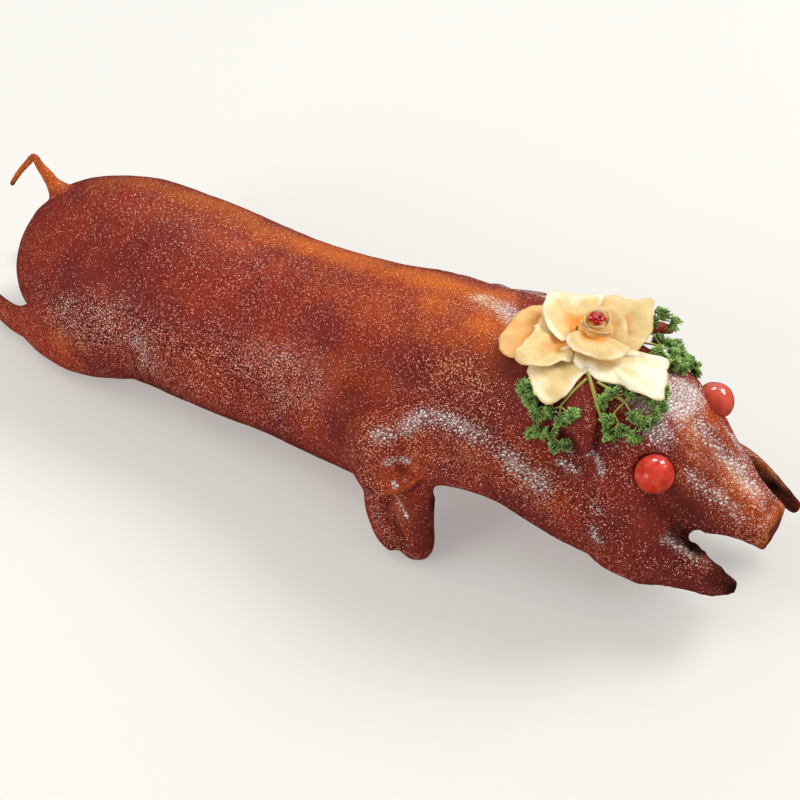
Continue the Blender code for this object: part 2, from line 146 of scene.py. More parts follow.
def noiseAt(co, size, seed=0.0):
    # smooth noise between about -1 and 1, with lumps of the given size in millimetres
    shift = Vector((seed * 17.3, seed * 5.1, seed * 9.7))
    return np.array([noise.noise(Vector(p) / size + shift) for p in co])


def treeOf(obj):
    bm = bmesh.new()
    bm.from_mesh(obj.data)
    tree = BVHTree.FromBMesh(bm)
    bm.free()
    return tree


def finish(obj, nodes, body="root"):
    # millimetres to metres, smooth shading, and its place in the frame
    obj.data.transform(Matrix.Scale(mm, 4) @ Matrix.Translation(-underMiddle))
    obj.data.polygons.foreach_set("use_smooth", [True] * len(obj.data.polygons))
    obj.data.update()
    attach(obj, body)
    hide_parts(*nodes)


# Materials

softRamp = {"interpolation_type": "SMOOTHSTEP"}  # inputs: value, two ends to read, two ends to give
colours = {"data_type": "RGBA"}  # inputs of a mix of colours: 0 share, 6 and 7 the colours; output 2


def linear(hexColour):
    # sRGB hex to linear, as the shader wants it
    parts = [int(hexColour[i:i + 2], 16) / 255 for i in (1, 3, 5)]
    return (*[c / 12.92 if c <= 0.04045 else ((c + 0.055) / 1.055) ** 2.4 for c in parts], 1.0)


def plug(node, inputs):
    # another node's output is linked, and any other value is set
    for key, value in inputs.items():
        if isinstance(value, bpy.types.NodeSocket):
            node.id_data.links.new(value, node.inputs[key])
        else:
            node.inputs[key].default_value = value


def addNode(tree, kind, inputs, output=0, **settings):
    # one node with its settings and links; gives back the output asked for
    node = tree.nodes.new("ShaderNode" + kind)
    for key, value in settings.items():
        setattr(node, key, value)
    plug(node, inputs)
    return node.outputs[output]


def newMaterial(name):
    material = bpy.data.materials.new(name)
    material.use_nodes = True
    tree = material.node_tree
    return material, partial(addNode, tree), tree.nodes["Principled BSDF"]


def roastSkin():
    # Pork skin glazed with syrup and roasted: smooth deep mahogany, amber where it is thin and, along the lit
    # top of the back, partly painted light. Fine blisters about 1 mm apart have pale tips, some of them
    # painted glints; where the glaze mirrors the light the crackled skin is painted into pale plates, a
    # painted highlight, and the darker masks are partly painted shade.
    look = {
        "blisterGap": 1.05 * mm, "plate": 1.65 * mm, "wind": 3.0 * mm, "windBy": 2.4 * mm, "grain": 0.7 * mm,
        "mottle": 45 * mm, "fineMottle": 9 * mm, "relief": 0.7 * mm,
        "deep": "#7C2A25", "mahogany": "#953322", "orange": "#C65D1D", "dark": "#471F24",
        # tip colours, brightened towards painted glints; then the colours of the painted highlight plates,
        # white, golden and pink, and the black of burning and of painted shade in the mouth
        "blister": "#FFAA94", "amberBlister": "#FFC27C", "pale": "#F9F1EE", "gold": "#EDCFAE",
        "bead": "#F0BFAE", "char": "#1E0F0C",
        "towards": (-0.6, 0.3, 0.7),  # where the light on the plates comes from
        "drawnOut": (0.86, 0.51, 0.0), "stretch": 0.42,  # plates are longer across the snout
        "blisters": 0.12, "glint": 0.7, "underlay": 0.24, "wet": 0.9, "wetEverywhere": 0.05,
    }
    material, add, shader = newMaterial("glazed_roast_pork_skin")
    where = add("TexCoord", {}, "Object")
    orange, dark, pale, char, gloss, dotted = (
        add("Attribute", {}, "Fac", attribute_name=name)
        for name in ("orange", "dark", "pale", "char", "gloss", "dotted"))
    mottle, fine, grain = (
        add("TexNoise", {"Vector": where, "Scale": 1 / look[size], "Detail": detail, "Roughness": roughness})
        for size, detail, roughness in (("mottle", 3.0, 0.55), ("fineMottle", 3.0, 0.6), ("grain", 2.0, 0.6)))

    # each blister is a small facet with a tilt of its own, so that some of them mirror the lamps
    cells = add("TexVoronoi", {"Vector": where, "Scale": 1 / look["blisterGap"]}).node.outputs
    chance = add("SeparateColor", {"Color": cells["Color"]}).node.outputs
    dome = add("MapRange", {0: cells["Distance"], 1: 0.7, 2: 0.0}, **softRamp)
    tip = add("MapRange", {0: cells["Distance"], 1: 0.42, 2: 0.18}, **softRamp)
    lean = add("VectorMath", {0: cells["Color"], 1: (0.5, 0.5, 0.5)}, operation="SUBTRACT")
    inCell = add("VectorMath", {0: where, 1: cells["Position"]}, operation="SUBTRACT")
    facet = add("VectorMath", {0: inCell, 1: lean}, "Value", operation="DOT_PRODUCT")

    # crackle: plates parted by dark winding lines, and drawn out one way; the plates are painted pale as
    # highlights, each brighter on its side towards the light
    wind = add("TexNoise", {"Vector": where, "Scale": 1 / look["wind"], "Detail": 1.0}, "Color")
    bent = add("VectorMath", {0: wind, 1: (look["windBy"],) * 3, 2: where}, operation="MULTIPLY_ADD")
    reach = add("VectorMath", {0: bent, 1: look["drawnOut"]}, "Value", operation="DOT_PRODUCT")
    reach = add("Math", {0: reach, 1: -look["stretch"]}, operation="MULTIPLY")
    drawn = add("VectorMath", {0: look["drawnOut"], "Scale": reach}, operation="SCALE")
    bent = add("VectorMath", {0: drawn, 1: bent}, operation="ADD")
    plates = {"Vector": bent, "Scale": 1 / look["plate"]}
    toCrack = add("TexVoronoi", plates, "Distance", feature="DISTANCE_TO_EDGE")
    plateMiddle = add("TexVoronoi", plates, "Position")

    # painted highlight: small islands where the skin is painted a little pale, growing to whole plates where
    # it is painted palest; in the gloss zones they are painted pink glints
    paleness = add("Math", {0: gloss, 1: 0.6}, operation="MULTIPLY")
    paleness = add("Math", {0: pale, 1: paleness}, operation="MAXIMUM")
    crack = add("MapRange", {0: paleness, 1: 0.0, 2: 0.9, 3: 0.38, 4: 0.08}, **softRamp)
    plate = add("Math", {0: toCrack, 1: crack}, operation="SUBTRACT")
    plate = add("MapRange", {0: plate, 1: -0.04, 2: 0.08}, **softRamp)
    crackleAndHighlight = add("Math", {
        0: add("MapRange", {0: pale, 1: 0.0, 2: 0.75}, **softRamp),
        1: add("Math", {0: gloss, 1: 0.65}, operation="MULTIPLY")}, operation="MAXIMUM")
    offMiddle = add("VectorMath", {0: bent, 1: plateMiddle}, operation="SUBTRACT")
    litSide = add("VectorMath", {0: offMiddle, 1: Vector(look["towards"]) / look["plate"]}, "Value",
                  operation="DOT_PRODUCT")
    plateShare = add("MapRange", {0: litSide, 1: -0.3, 2: 0.25, 3: 0.45, 4: 1.0}, **softRamp)
    for part in (plate, crackleAndHighlight):
        plateShare = add("Math", {0: plateShare, 1: part}, operation="MULTIPLY")
    # the colour of the painted highlight plates: white, golden on the orange, and pink as painted glints
    # where the skin is barely pale
    golden = add("MapRange", {0: orange, 1: 0.35, 2: 0.7}, **softRamp)
    plateColour = add("Mix", {0: golden, 6: linear(look["pale"]), 7: linear(look["gold"])}, 2, **colours)
    palestHighlight = add("MapRange", {0: pale, 1: 0.2, 2: 0.5}, **softRamp)
    plateColour = add("Mix", {0: palestHighlight, 6: linear(look["bead"]), 7: plateColour}, 2, **colours)

    # blister tips, partly the blisters' pale tops and partly painted glints: more show where the pale and
    # dotted masks are high, hardly any under the dark mask, which is partly painted shade
    density = look["blisters"]
    for mask, more in ((pale, 0.3), (dark, -0.9), (dotted, 0.3), (fine, 1.2)):
        density = add("Math", {0: mask, 1: more, 2: density}, operation="MULTIPLY_ADD")
    shows = add("Math", {0: density, 1: chance["Red"]}, operation="SUBTRACT")
    shows = add("MapRange", {0: shows, 1: -0.05, 2: 0.1}, **softRamp)
    tipShare = add("Math", {0: chance["Green"], 1: 2.0}, operation="POWER")
    tipShare = add("Math", {0: tipShare, 1: 1.05, 2: 0.25}, operation="MULTIPLY_ADD")
    for part in (add("MapRange", {0: pale, 1: 0.3, 2: 0.8, 3: 1.0, 4: 0.2}, **softRamp),
                 add("MapRange", {0: dotted, 1: 0.0, 2: 1.0, 3: 0.9, 4: 1.45}, **softRamp), tip, shows):
        tipShare = add("Math", {0: tipShare, 1: part}, operation="MULTIPLY")
    amber = add("Math", {0: mottle, 1: 0.5, 2: orange}, operation="MULTIPLY_ADD")
    amber = add("Math", {0: amber, 1: 0.25}, operation="SUBTRACT")
    blister, amberBlister = linear(look["blister"]), linear(look["amberBlister"])
    tipColour = add("Mix", {0: amber, 6: blister, 7: amberBlister}, 2, **colours)
    glint = add("MapRange", {0: chance["Green"], 1: 0.7, 2: 1.0}, **softRamp)
    for part in (dotted, look["glint"]):
        glint = add("Math", {0: glint, 1: part}, operation="MULTIPLY")
    tipColour = add("Mix", {0: glint, 6: tipColour, 7: linear(look["pale"])}, 2, **colours)
    tipColour = add("Mix", {0: pale, 6: tipColour, 7: plateColour}, 2, **colours)
    gaps = add("MapRange", {0: cells["Distance"], 1: 0.4, 2: 0.8}, **softRamp)
    for part in (shows, add("MapRange", {0: dotted, 1: 0.0, 2: 1.0, 3: 0.4, 4: 0.8}, **softRamp)):
        gaps = add("Math", {0: gaps, 1: part}, operation="MULTIPLY")

    # the colours over one another, from the lowest up
    base = linear(look["deep"])
    underlay = add("MapRange", {0: pale, 1: 0.4, 2: 1.0, 3: 0.0, 4: look["underlay"]}, **softRamp)
    for share, colour, blend in (
            (add("MapRange", {0: mottle, 1: 0.35, 2: 0.65}, **softRamp), linear(look["mahogany"]), "MIX"),
            (add("MapRange", {0: amber, 1: 0.0, 2: 1.0}, **softRamp), linear(look["orange"]), "MIX"),
            # darker skin, and painted shade where the dark mask lies in creases, hollows and undersides
            (add("Math", {0: dark, 1: 0.75}, operation="MULTIPLY"), linear(look["dark"]), "MIX"),
            # painted highlight: a pale underlay, then the pale plates
            (underlay, plateColour, "MIX"),
            (plateShare, plateColour, "MIX"),
            # blister tips, with painted glints among them
            (tipShare, tipColour, "MIX"),
            (gaps, linear(look["dark"]), "MULTIPLY"),
            # burnt black, and black painted shade in the mouth and the nostril
            (char, linear(look["char"]), "MIX")):
        base = add("Mix", {0: share, 6: base, 7: colour}, 2, blend_type=blend, **colours)

    height = add("Math", {0: dome, 1: 0.14}, operation="MULTIPLY")
    for part, amount in ((grain, 0.1), (facet, 0.4 / mm)):
        height = add("Math", {0: part, 1: amount, 2: height}, operation="MULTIPLY_ADD")
    smoothed = add("MapRange", {0: pale, 1: 0.3, 2: 0.9, 3: 1.0, 4: 0.4}, **softRamp)
    height = add("Math", {0: height, 1: smoothed}, operation="MULTIPLY")
    # plates stand out, and wet beads are steep enough to break a reflection into glints
    standing = add("Math", {0: plate, 1: crackleAndHighlight}, operation="MULTIPLY")
    beads = add("MapRange", {0: toCrack, 1: 0.0, 2: 0.4}, **softRamp)
    beads = add("Math", {0: beads, 1: gloss}, operation="MULTIPLY")
    for part, amount in ((fine, 0.7), (standing, 0.2), (beads, 0.38)):
        height = add("Math", {0: part, 1: amount, 2: height}, operation="MULTIPLY_ADD")
    bump = add("Bump", {"Height": height, "Strength": 1.0, "Distance": look["relief"]})
    wet = add("Math", {0: pale, 1: gloss}, operation="MAXIMUM")
    wet = add("Math", {0: wet, 1: look["wet"], 2: look["wetEverywhere"]}, operation="MULTIPLY_ADD")
    plug(shader, {
        "Base Color": base, "Roughness": add("Math", {0: fine, 1: 0.16, 2: 0.42}, operation="MULTIPLY_ADD"),
        "IOR": 1.4, "Specular IOR Level": 0.1, "Normal": bump, "Coat Normal": bump,
        "Coat Weight": wet, "Coat Roughness": 0.1, "Coat IOR": 1.5,
    })
    return material


def glaceCherry():
    # Cherry boiled in syrup: clear red flesh under a sticky gloss, paler where light comes through.
    look = {"red": "#DC5540", "deep": "#BC3226", "pale": "#F48F78", "lump": 6 * mm, "depth": 6.0 * mm,
            "paler": 0.28, "palerFrom": 20 * mm}
    material, add, shader = newMaterial("glace_cherry_flesh")
    where = add("TexCoord", {}, "Object")
    cloud = add("TexNoise", {"Vector": where, "Scale": 1 / look["lump"], "Detail": 1.0})
    share = add("MapRange", {0: cloud, 1: 0.3, 2: 0.7}, **softRamp)
    base = add("Mix", {0: share, 6: linear(look["deep"]), 7: linear(look["red"])}, 2, **colours)
    # the cherry on the pig's left is the paler one
    left = add("SeparateXYZ", {"Vector": where}, "Y")
    left = add("MapRange", {0: left, 2: look["palerFrom"], 4: look["paler"]}, **softRamp)
    base = add("Mix", {0: left, 6: base, 7: linear(look["pale"])}, 2, **colours)
    plug(shader, {
        "Base Color": base, "Roughness": 0.25, "IOR": 1.45, "Subsurface Weight": 1.0,
        "Subsurface Radius": (1.0, 0.22, 0.14), "Subsurface Scale": look["depth"],
        "Coat Weight": 1.0, "Coat Roughness": 0.1, "Coat IOR": 1.5,
    })
    return material


def rosePetal():
    # Rose petal: waxy and thin, cream at the rim and orange towards the heart, with fine veins. The orange is
    # partly the petal's own colour and partly painted shade deep in the flower; the near-white bright cream
    # is painted light on the lit petals and through the thin closed petals of the bud.
    look = {"cream": "#E3C78C", "bright": "#FDF1D2", "orange": "#E59238", "rim": "#CF9248",
            "blush": "#DDAB5C", "cloud": 10 * mm, "veins": 26.0, "relief": 0.5 * mm, "depth": 1.3 * mm}
    material, add, shader = newMaterial("waxy_rose_petal")
    where = add("TexCoord", {}, "Object")
    along, rim, fan = (add("Attribute", {}, "Fac", attribute_name=name) for name in ("along", "rim", "fan"))
    cloud = add("TexNoise", {"Vector": where, "Scale": 1 / look["cloud"], "Detail": 4.0})
    fan = add("Math", {0: fan, 1: look["veins"]}, operation="MULTIPLY")
    vein = add("TexNoise", {"W": fan, "Scale": 1.0, "Detail": 2.0}, noise_dimensions="1D")
    patchy = add("Math", {0: cloud, 1: 0.5}, operation="SUBTRACT")
    # along carries each petal's orange-to-cream, with painted shade at its low end and painted light at its
    # high end
    creamy, bright = (
        add("Math", {0: patchy, 1: amount, 2: along}, operation="MULTIPLY_ADD") for amount in (0.8, 1.2))
    streaky = add("Math", {0: vein, 1: 0.5, 2: cloud}, operation="MULTIPLY_ADD")
    base = linear(look["orange"])
    for value, low, high, most, colour in (
            (creamy, 0.05, 0.65, 1.0, "cream"), (streaky, 0.72, 1.05, 0.6, "blush"),
            (bright, 0.85, 1.4, 1.0, "bright"), (rim, 0.93, 1.0, 0.4, "rim")):
        share = add("MapRange", {0: value, 1: low, 2: high, 3: 0.0, 4: most}, **softRamp)
        base = add("Mix", {0: share, 6: base, 7: linear(look[colour])}, 2, **colours)
    height = add("Math", {0: vein, 1: 0.35}, operation="MULTIPLY")
    height = add("Math", {0: cloud, 1: 0.6, 2: height}, operation="MULTIPLY_ADD")
    bump = add("Bump", {"Height": height, "Strength": 0.6, "Distance": look["relief"]})
    plug(shader, {
        "Base Color": base, "Roughness": 0.5, "IOR": 1.4, "Normal": bump, "Specular IOR Level": 0.3,
        "Subsurface Weight": 0.3, "Subsurface Radius": (1.0, 0.7, 0.4), "Subsurface Scale": look["depth"],
    })
    return material


def candiedBits():
    # Chopped candied fruit: wet red cubes.
    look = {"red": "#D22A18", "deep": "#8E0D0C", "cloud": 2.0 * mm, "depth": 1.5 * mm}
    material, add, shader = newMaterial("candied_red_fruit")
    where = add("TexCoord", {}, "Object")
    cloud = add("TexNoise", {"Vector": where, "Scale": 1 / look["cloud"], "Detail": 2.0})
    share = add("MapRange", {0: cloud, 1: 0.3, 2: 0.7}, **softRamp)
    plug(shader, {
        "Base Color": add("Mix", {0: share, 6: linear(look["deep"]), 7: linear(look["red"])}, 2, **colours),
        "Roughness": 0.25, "IOR": 1.45, "Coat Weight": 0.8, "Coat Roughness": 0.08,
        "Subsurface Weight": 0.3, "Subsurface Radius": (1.0, 0.2, 0.1), "Subsurface Scale": look["depth"],
    })
    return material


def parsleyGreen():
    # Curly parsley: crisp green leaf edges over paler stems.
    look = {"leaf": "#2D5B1E", "dark": "#081B0E", "tip": "#ACD175", "stem": "#A39E4C", "cloud": 4 * mm,
            "relief": 0.3 * mm, "depth": 0.8 * mm}
    material, add, shader = newMaterial("curly_parsley_leaf")
    where = add("TexCoord", {}, "Object")
    tip, stem = (add("Attribute", {}, "Fac", attribute_name=name) for name in ("tip", "stem"))
    cloud = add("TexNoise", {"Vector": where, "Scale": 1 / look["cloud"], "Detail": 3.0})
    patchy = add("Math", {0: cloud, 1: 0.5}, operation="SUBTRACT")
    tip = add("Math", {0: tip, 1: patchy}, operation="ADD")
    base = linear(look["dark"])
    for share, colour in (
            (add("MapRange", {0: cloud, 1: 0.35, 2: 0.65}, **softRamp), "leaf"),
            # the pale tip colour at the leaflets' edges is partly their own paler green and partly painted
            # highlight
            (add("MapRange", {0: tip, 1: 0.56, 2: 1.15}, **softRamp), "tip"),
            (stem, "stem")):
        base = add("Mix", {0: share, 6: base, 7: linear(look[colour])}, 2, **colours)
    bump = add("Bump", {"Height": cloud, "Strength": 0.3, "Distance": look["relief"]})
    plug(shader, {
        "Base Color": base, "Roughness": 0.42, "IOR": 1.42, "Normal": bump,
        "Subsurface Weight": 0.15, "Subsurface Radius": (0.4, 1.0, 0.2), "Subsurface Scale": look["depth"],
    })
    return material


# The pig

pigBody = {
    "cell": 1.75, "softenBy": 0.5, "softenRounds": 8, "ground": 0.3, "rings": 110, "sides": 64,
    # lumps of the skin: size, seed, height
    "lumps": ((38, 1.0, 0.7), (15, 2.0, 0.35), (5.5, 4.0, 0.16)),
    "charLumps": (4.2, 8.0, 1.1), "charSwell": 0.5, "crumpleLumps": (4.0, 9.0), "tailLumps": (3.0, 6.0, 0.22),
    # limbs in pairs and alone, and which way the first half size of each lies
    "pairs": {"arm": (1, 0, 0), "foot": (1, 0, 0), "footFold": (1, 0, 0), "ham": (0, 0, 1),
              "shank": (0, 0, 1)},
    "singles": {"earRight": (0.9, 0.5, 0.4), "earLeft": (0.9, -0.5, 0.4), "jawRight": (0, 0.3, 1),
                "jawLeft": (0, -0.3, 1), "tailRoot": (0, 1, 0)},
    # along X, half width, height of the widest point, top, underside, squareness above and below
    "trunk": (
        (-268, 15, 50, 64, 38, 2.0, 2.0),
        (-263, 33, 50, 79, 24, 2.0, 2.0),
        (-250, 47, 50, 93, 10, 2.0, 2.0),
        (-228, 56, 49, 105, 2, 2.0, 2.1),
        (-195, 63, 49, 113, -2, 2.0, 2.1),
        (-150, 64, 50, 115, -3, 2.0, 2.1),
        (-105, 62, 50, 113, -3, 2.0, 2.1),
        (-60, 61, 51, 116, -3, 2.0, 2.1),
        (-20, 64, 54, 122, -2, 2.0, 2.1),
        (15, 69, 58, 128, 4, 2.0, 2.1),
        (45, 71, 63, 132, 26, 2.0, 2.2),
        (72, 69, 68, 136, 52, 2.1, 2.6),
        (97, 66, 68, 139, 55, 2.1, 2.8),
        (118, 61, 58, 140, 44, 2.1, 2.8),
        (138, 57, 48, 138, 34, 2.1, 2.6),
        (157, 54, 44, 132, 30, 2.2, 2.6),
        (174, 51, 44, 123, 29, 2.3, 2.5),
        (190, 45, 53, 111, 39, 2.4, 2.3),
        (203, 33, 63, 100, 58, 2.4, 2.3),
        (216, 25, 66, 90, 59, 2.4, 2.3),
        (230, 19, 64, 81, 54, 2.3, 2.2),
        (241, 16.5, 61.5, 74, 49, 2.2, 2.2),
    ),
    # limbs are rows of a centre and two half sizes
    "arm": (
        ((24, 34, 92), 8, 6), ((22, 42, 86), 26, 16), ((26, 54, 75), 31, 19),
        ((34, 63, 61), 28, 18), ((40, 69, 50), 23.5, 15), ((41, 70, 48), 20, 12),
    ),
    "foot": (
        ((40, 66, 60), 18, 13), ((45, 71, 42), 18.5, 13.5), ((49, 73, 26), 16.5, 12.5),
        ((53, 72, 12), 12.5, 11), ((55, 70, 1), 9, 8),
    ),
    "footFold": (
        ((29, 68, 48), 10, 9), ((31, 75, 34), 9, 9), ((38, 78, 18), 8, 8), ((45, 78, 7), 6, 6),
    ),
    "ham": (
        ((-140, 30, 54), 10, 10), ((-155, 38, 50), 26, 20), ((-182, 43, 44), 36, 22),
        ((-212, 43, 42), 35, 19), ((-236, 38, 42), 28, 14), ((-248, 32, 44), 12, 8),
    ),
    "shank": (
        ((-160, 36, 30), 8, 8), ((-168, 39, 28), 17, 16), ((-186, 42, 25), 20, 19),
        ((-208, 44, 22), 21, 20), ((-230, 43, 20), 18, 18), ((-248, 41, 17), 13, 13),
        ((-262, 41, 13), 8.5, 9), ((-276, 39, 13.5), 6.4, 7.0), ((-292, 36, 15.5), 6.3, 7.2),
        ((-302, 34, 16), 5.0, 6.0), ((-305, 33, 16), 2.5, 3.0),
    ),
    "jawRight": (
        ((150, -40, 56), 10, 6), ((160, -44, 53), 20, 9), ((180, -43, 48), 21, 7.5),
        ((196, -38, 46), 19, 6.5), ((208, -35, 41), 14.5, 5.5), ((222, -33, 37), 10, 4.8),
        ((234, -30, 36), 4, 3.2),
    ),
    "jawLeft": (
        ((150, 40, 56), 10, 6), ((160, 45, 53), 20, 9), ((180, 47, 50), 21, 7.5),
        ((198, 48, 49), 18, 6.0), ((213, 48, 44), 13, 5.5), ((228, 47, 36), 9, 4.8),
        ((240, 46, 31), 3.5, 3.2),
    ),
    "earRight": (
        ((118, -12, 131), 7, 5), ((123, -19, 134), 12, 5), ((129, -27, 132), 11, 4.2),
        ((135, -34.5, 126), 9, 3.8), ((140, -41, 119), 7, 3.4), ((144, -46, 111), 4.5, 2.8),
        ((146.5, -49, 106), 2.5, 1.8),
    ),
    "earLeft": (
        ((118, 12, 131), 7, 5), ((123, 19, 134), 12, 5), ((131, 29, 134), 11, 4.2),
        ((138, 38, 132), 9, 3.6), ((144, 46, 128), 6.5, 3.0), ((148, 51, 124), 3, 2.0),
    ),
    "tailRoot": (
        ((-234, 0, 88), 13, 13), ((-247, 0, 94), 8, 8), ((-255, 0, 102), 4.2, 4.2),
        ((-259, 0, 106.5), 3.2, 3.2),
    ),
    "tail": (
        ((-252, 0, 98), 3.0, 3.0), ((-255, 0, 102), 3.9, 3.9), ((-262, 0, 110), 2.7, 2.7),
        ((-266, 0, 115), 2.2, 2.2), ((-272, 0, 108), 2.0, 2.0), ((-281, 0, 96), 1.8, 1.8),
        ((-288, 0, 85), 1.5, 1.5),
    ),
    # creases and folds, on both sides: line on the right side, reach, how far the skin stands out
    "folds": (
        (((24, -76, 80), (40, -68, 92), (62, -63, 99), (88, -63, 99), (106, -62, 91), (122, -60, 80),
          (140, -57, 70), (158, -54, 62)), 15, 4.0),
        (((8, -60, 96), (32, -54, 107), (56, -50, 114), (80, -49, 118), (102, -51, 113), (122, -51, 102),
          (138, -49, 97)), 21, -5.0),
        (((-6, -66, 56), (-2, -64, 72), (2, -60, 86), (10, -54, 98)), 14, -3.0),
        (((-150, -64, 34), (-154, -64, 54), (-160, -60, 72)), 26, -3.0),
        (((-190, -64, 50), (-180, -63, 44)), 18, 2.0),
        (((30, -78, 70), (38, -78, 68)), 11, 2.5),
        (((46, -73, 78), (50, -74, 72)), 7, -3.0),
        (((40, -83, 52), (45, -84, 42), (50, -85, 27), (53, -84, 12)), 4.5, -3.0),
        (((150, -42, 108), (158, -36, 114), (168, -32, 114), (176, -26, 112)), 8, 2.5),
        (((128, -46, 110), (138, -46, 103), (148, -47, 98)), 7, -2.5),
        (((132, -50, 104), (144, -50, 94)), 8, 1.4),
        (((188, -40, 92), (196, -37, 83), (204, -31, 76)), 13, -6.5),
        (((178, -20, 118), (190, -20, 110), (204, -15, 99), (220, -11, 89), (238, -9, 79)), 6, 2.2),
        (((190, 0, 113), (205, 0, 101), (222, 0, 89)), 9, -1.6),
        (((170, -52, 50), (188, -48, 46)), 15, 2.0),
        (((-257, 0, 82), (-262, 0, 74)), 9, -4.0),
        (((242, -6.5, 63),), 3.4, -3.0),
        (((198, -36, 67), (206, -31, 61)), 8, -6.0),
        (((242, -15, 79), (243, 0, 80)), 12, -4.0),
        (((180, 24, 112), (192, 20, 108)), 10, -1.5),
    ),
    # the same on the left side alone
    "farFolds": (
        (((226, 18, 80), (243, 14, 74)), 13, -4.0),
        (((160, 50, 84), (185, 50, 76), (205, 44, 68)), 12, -2.0),
        (((192, 24, 106), (206, 20, 97), (221, 17, 87), (236, 13, 80)), 12, -3.0),
    ),
    # where the skin is crumpled on the right side: line, reach, height of the lumps
    "crumpled": (
        (((241, -14, 62), (243, -8, 76), (242, 6, 78), (240, 14, 70)), 12, 1.6),
        (((150, -46, 104), (164, -48, 98), (172, -50, 90)), 10, 0.7),
        (((150, -10, 134), (176, 0, 122), (184, -20, 112)), 26, 0.5),
    ),
    # small wrinkles that only the finish has
    "wrinkles": (
        (((36, -76, 84), (42, -74, 82), (47, -72, 79)), 2.6, 1.3),
        (((33, -78, 81), (39, -77, 78), (45, -75, 75)), 2.4, -1.1),
        (((30, -80, 77), (37, -79, 74), (44, -76, 71)), 2.6, 1.2),
        (((28, -81, 73), (36, -80, 70)), 2.2, -1.0),
        (((39, -82, 51), (45, -82, 57), (51, -79, 61), (58, -73, 67)), 4.5, 2.0),
        (((40, -83, 46), (46, -83, 51), (53, -80, 54), (60, -74, 60)), 4.5, -2.0),
        (((40, -83, 44), (43, -84, 37), (47, -84, 29), (51, -82, 22)), 4.5, -2.4),
        (((32, -82, 46), (35, -84, 34), (41, -86, 24)), 5.0, 1.4),
        (((49, -83, 48), (54, -84, 40)), 7.0, 1.2),
        (((128, -44, 106), (137, -43, 100), (144, -43, 96)), 3.0, 1.4),
        (((122, -48, 104), (132, -47, 98), (141, -47, 92)), 3.0, -1.2),
        (((242, -6.5, 63.5),), 3.0, -3.5),
        (((-255, 3, 93), (-249, 5, 88)), 2.2, -1.2),
        (((-257, -3, 92), (-251, -6, 86)), 2.2, -1.2),
        (((-170, -62, 60), (-158, -63, 52), (-150, -63, 40)), 5, -0.9),
    ),
}

cherries = {
    "radius": 11.1, "inset": 0.3, "socket": 11.2,
    # the low lip of skin round each: how far past the socket, half width, height
    "lip": (1.5, 4, 0.7),
    "eyes": {
        "cherry_right": {
            "name": "glaceCherryRight", "spot": (181, -36, 103.5), "outward": (0.22, -0.62, 0.75)},
        "cherry_left": {
            "name": "glaceCherryLeft", "spot": (184, 35, 100), "outward": (0.3, 0.2, 0.93)},
    },
    # small dents, each with a ring round it that is deeper on the side towards ringSide
    "dents": ((0.5, 0.25, 0.75), (-0.45, 0.2, 0.85), (0.1, -0.55, 0.8), (-0.2, -0.9, 0.2)),
    "ringSide": (0.6, 0.8, 0), "ring": (0.2, 0.06, 0.5), "pit": (0.1, 0.3), "depth": 0.8,
}

# the crest of the shoulder, which is glossy and painted pale as a highlight
shoulderCrest = (
    (32, -73, 87), (42, -67, 94), (52, -61, 102), (67, -59, 106), (80, -59, 106), (92, -60, 104),
    (100, -61, 100), (109, -60, 95), (118, -58, 89), (127, -58, 84))
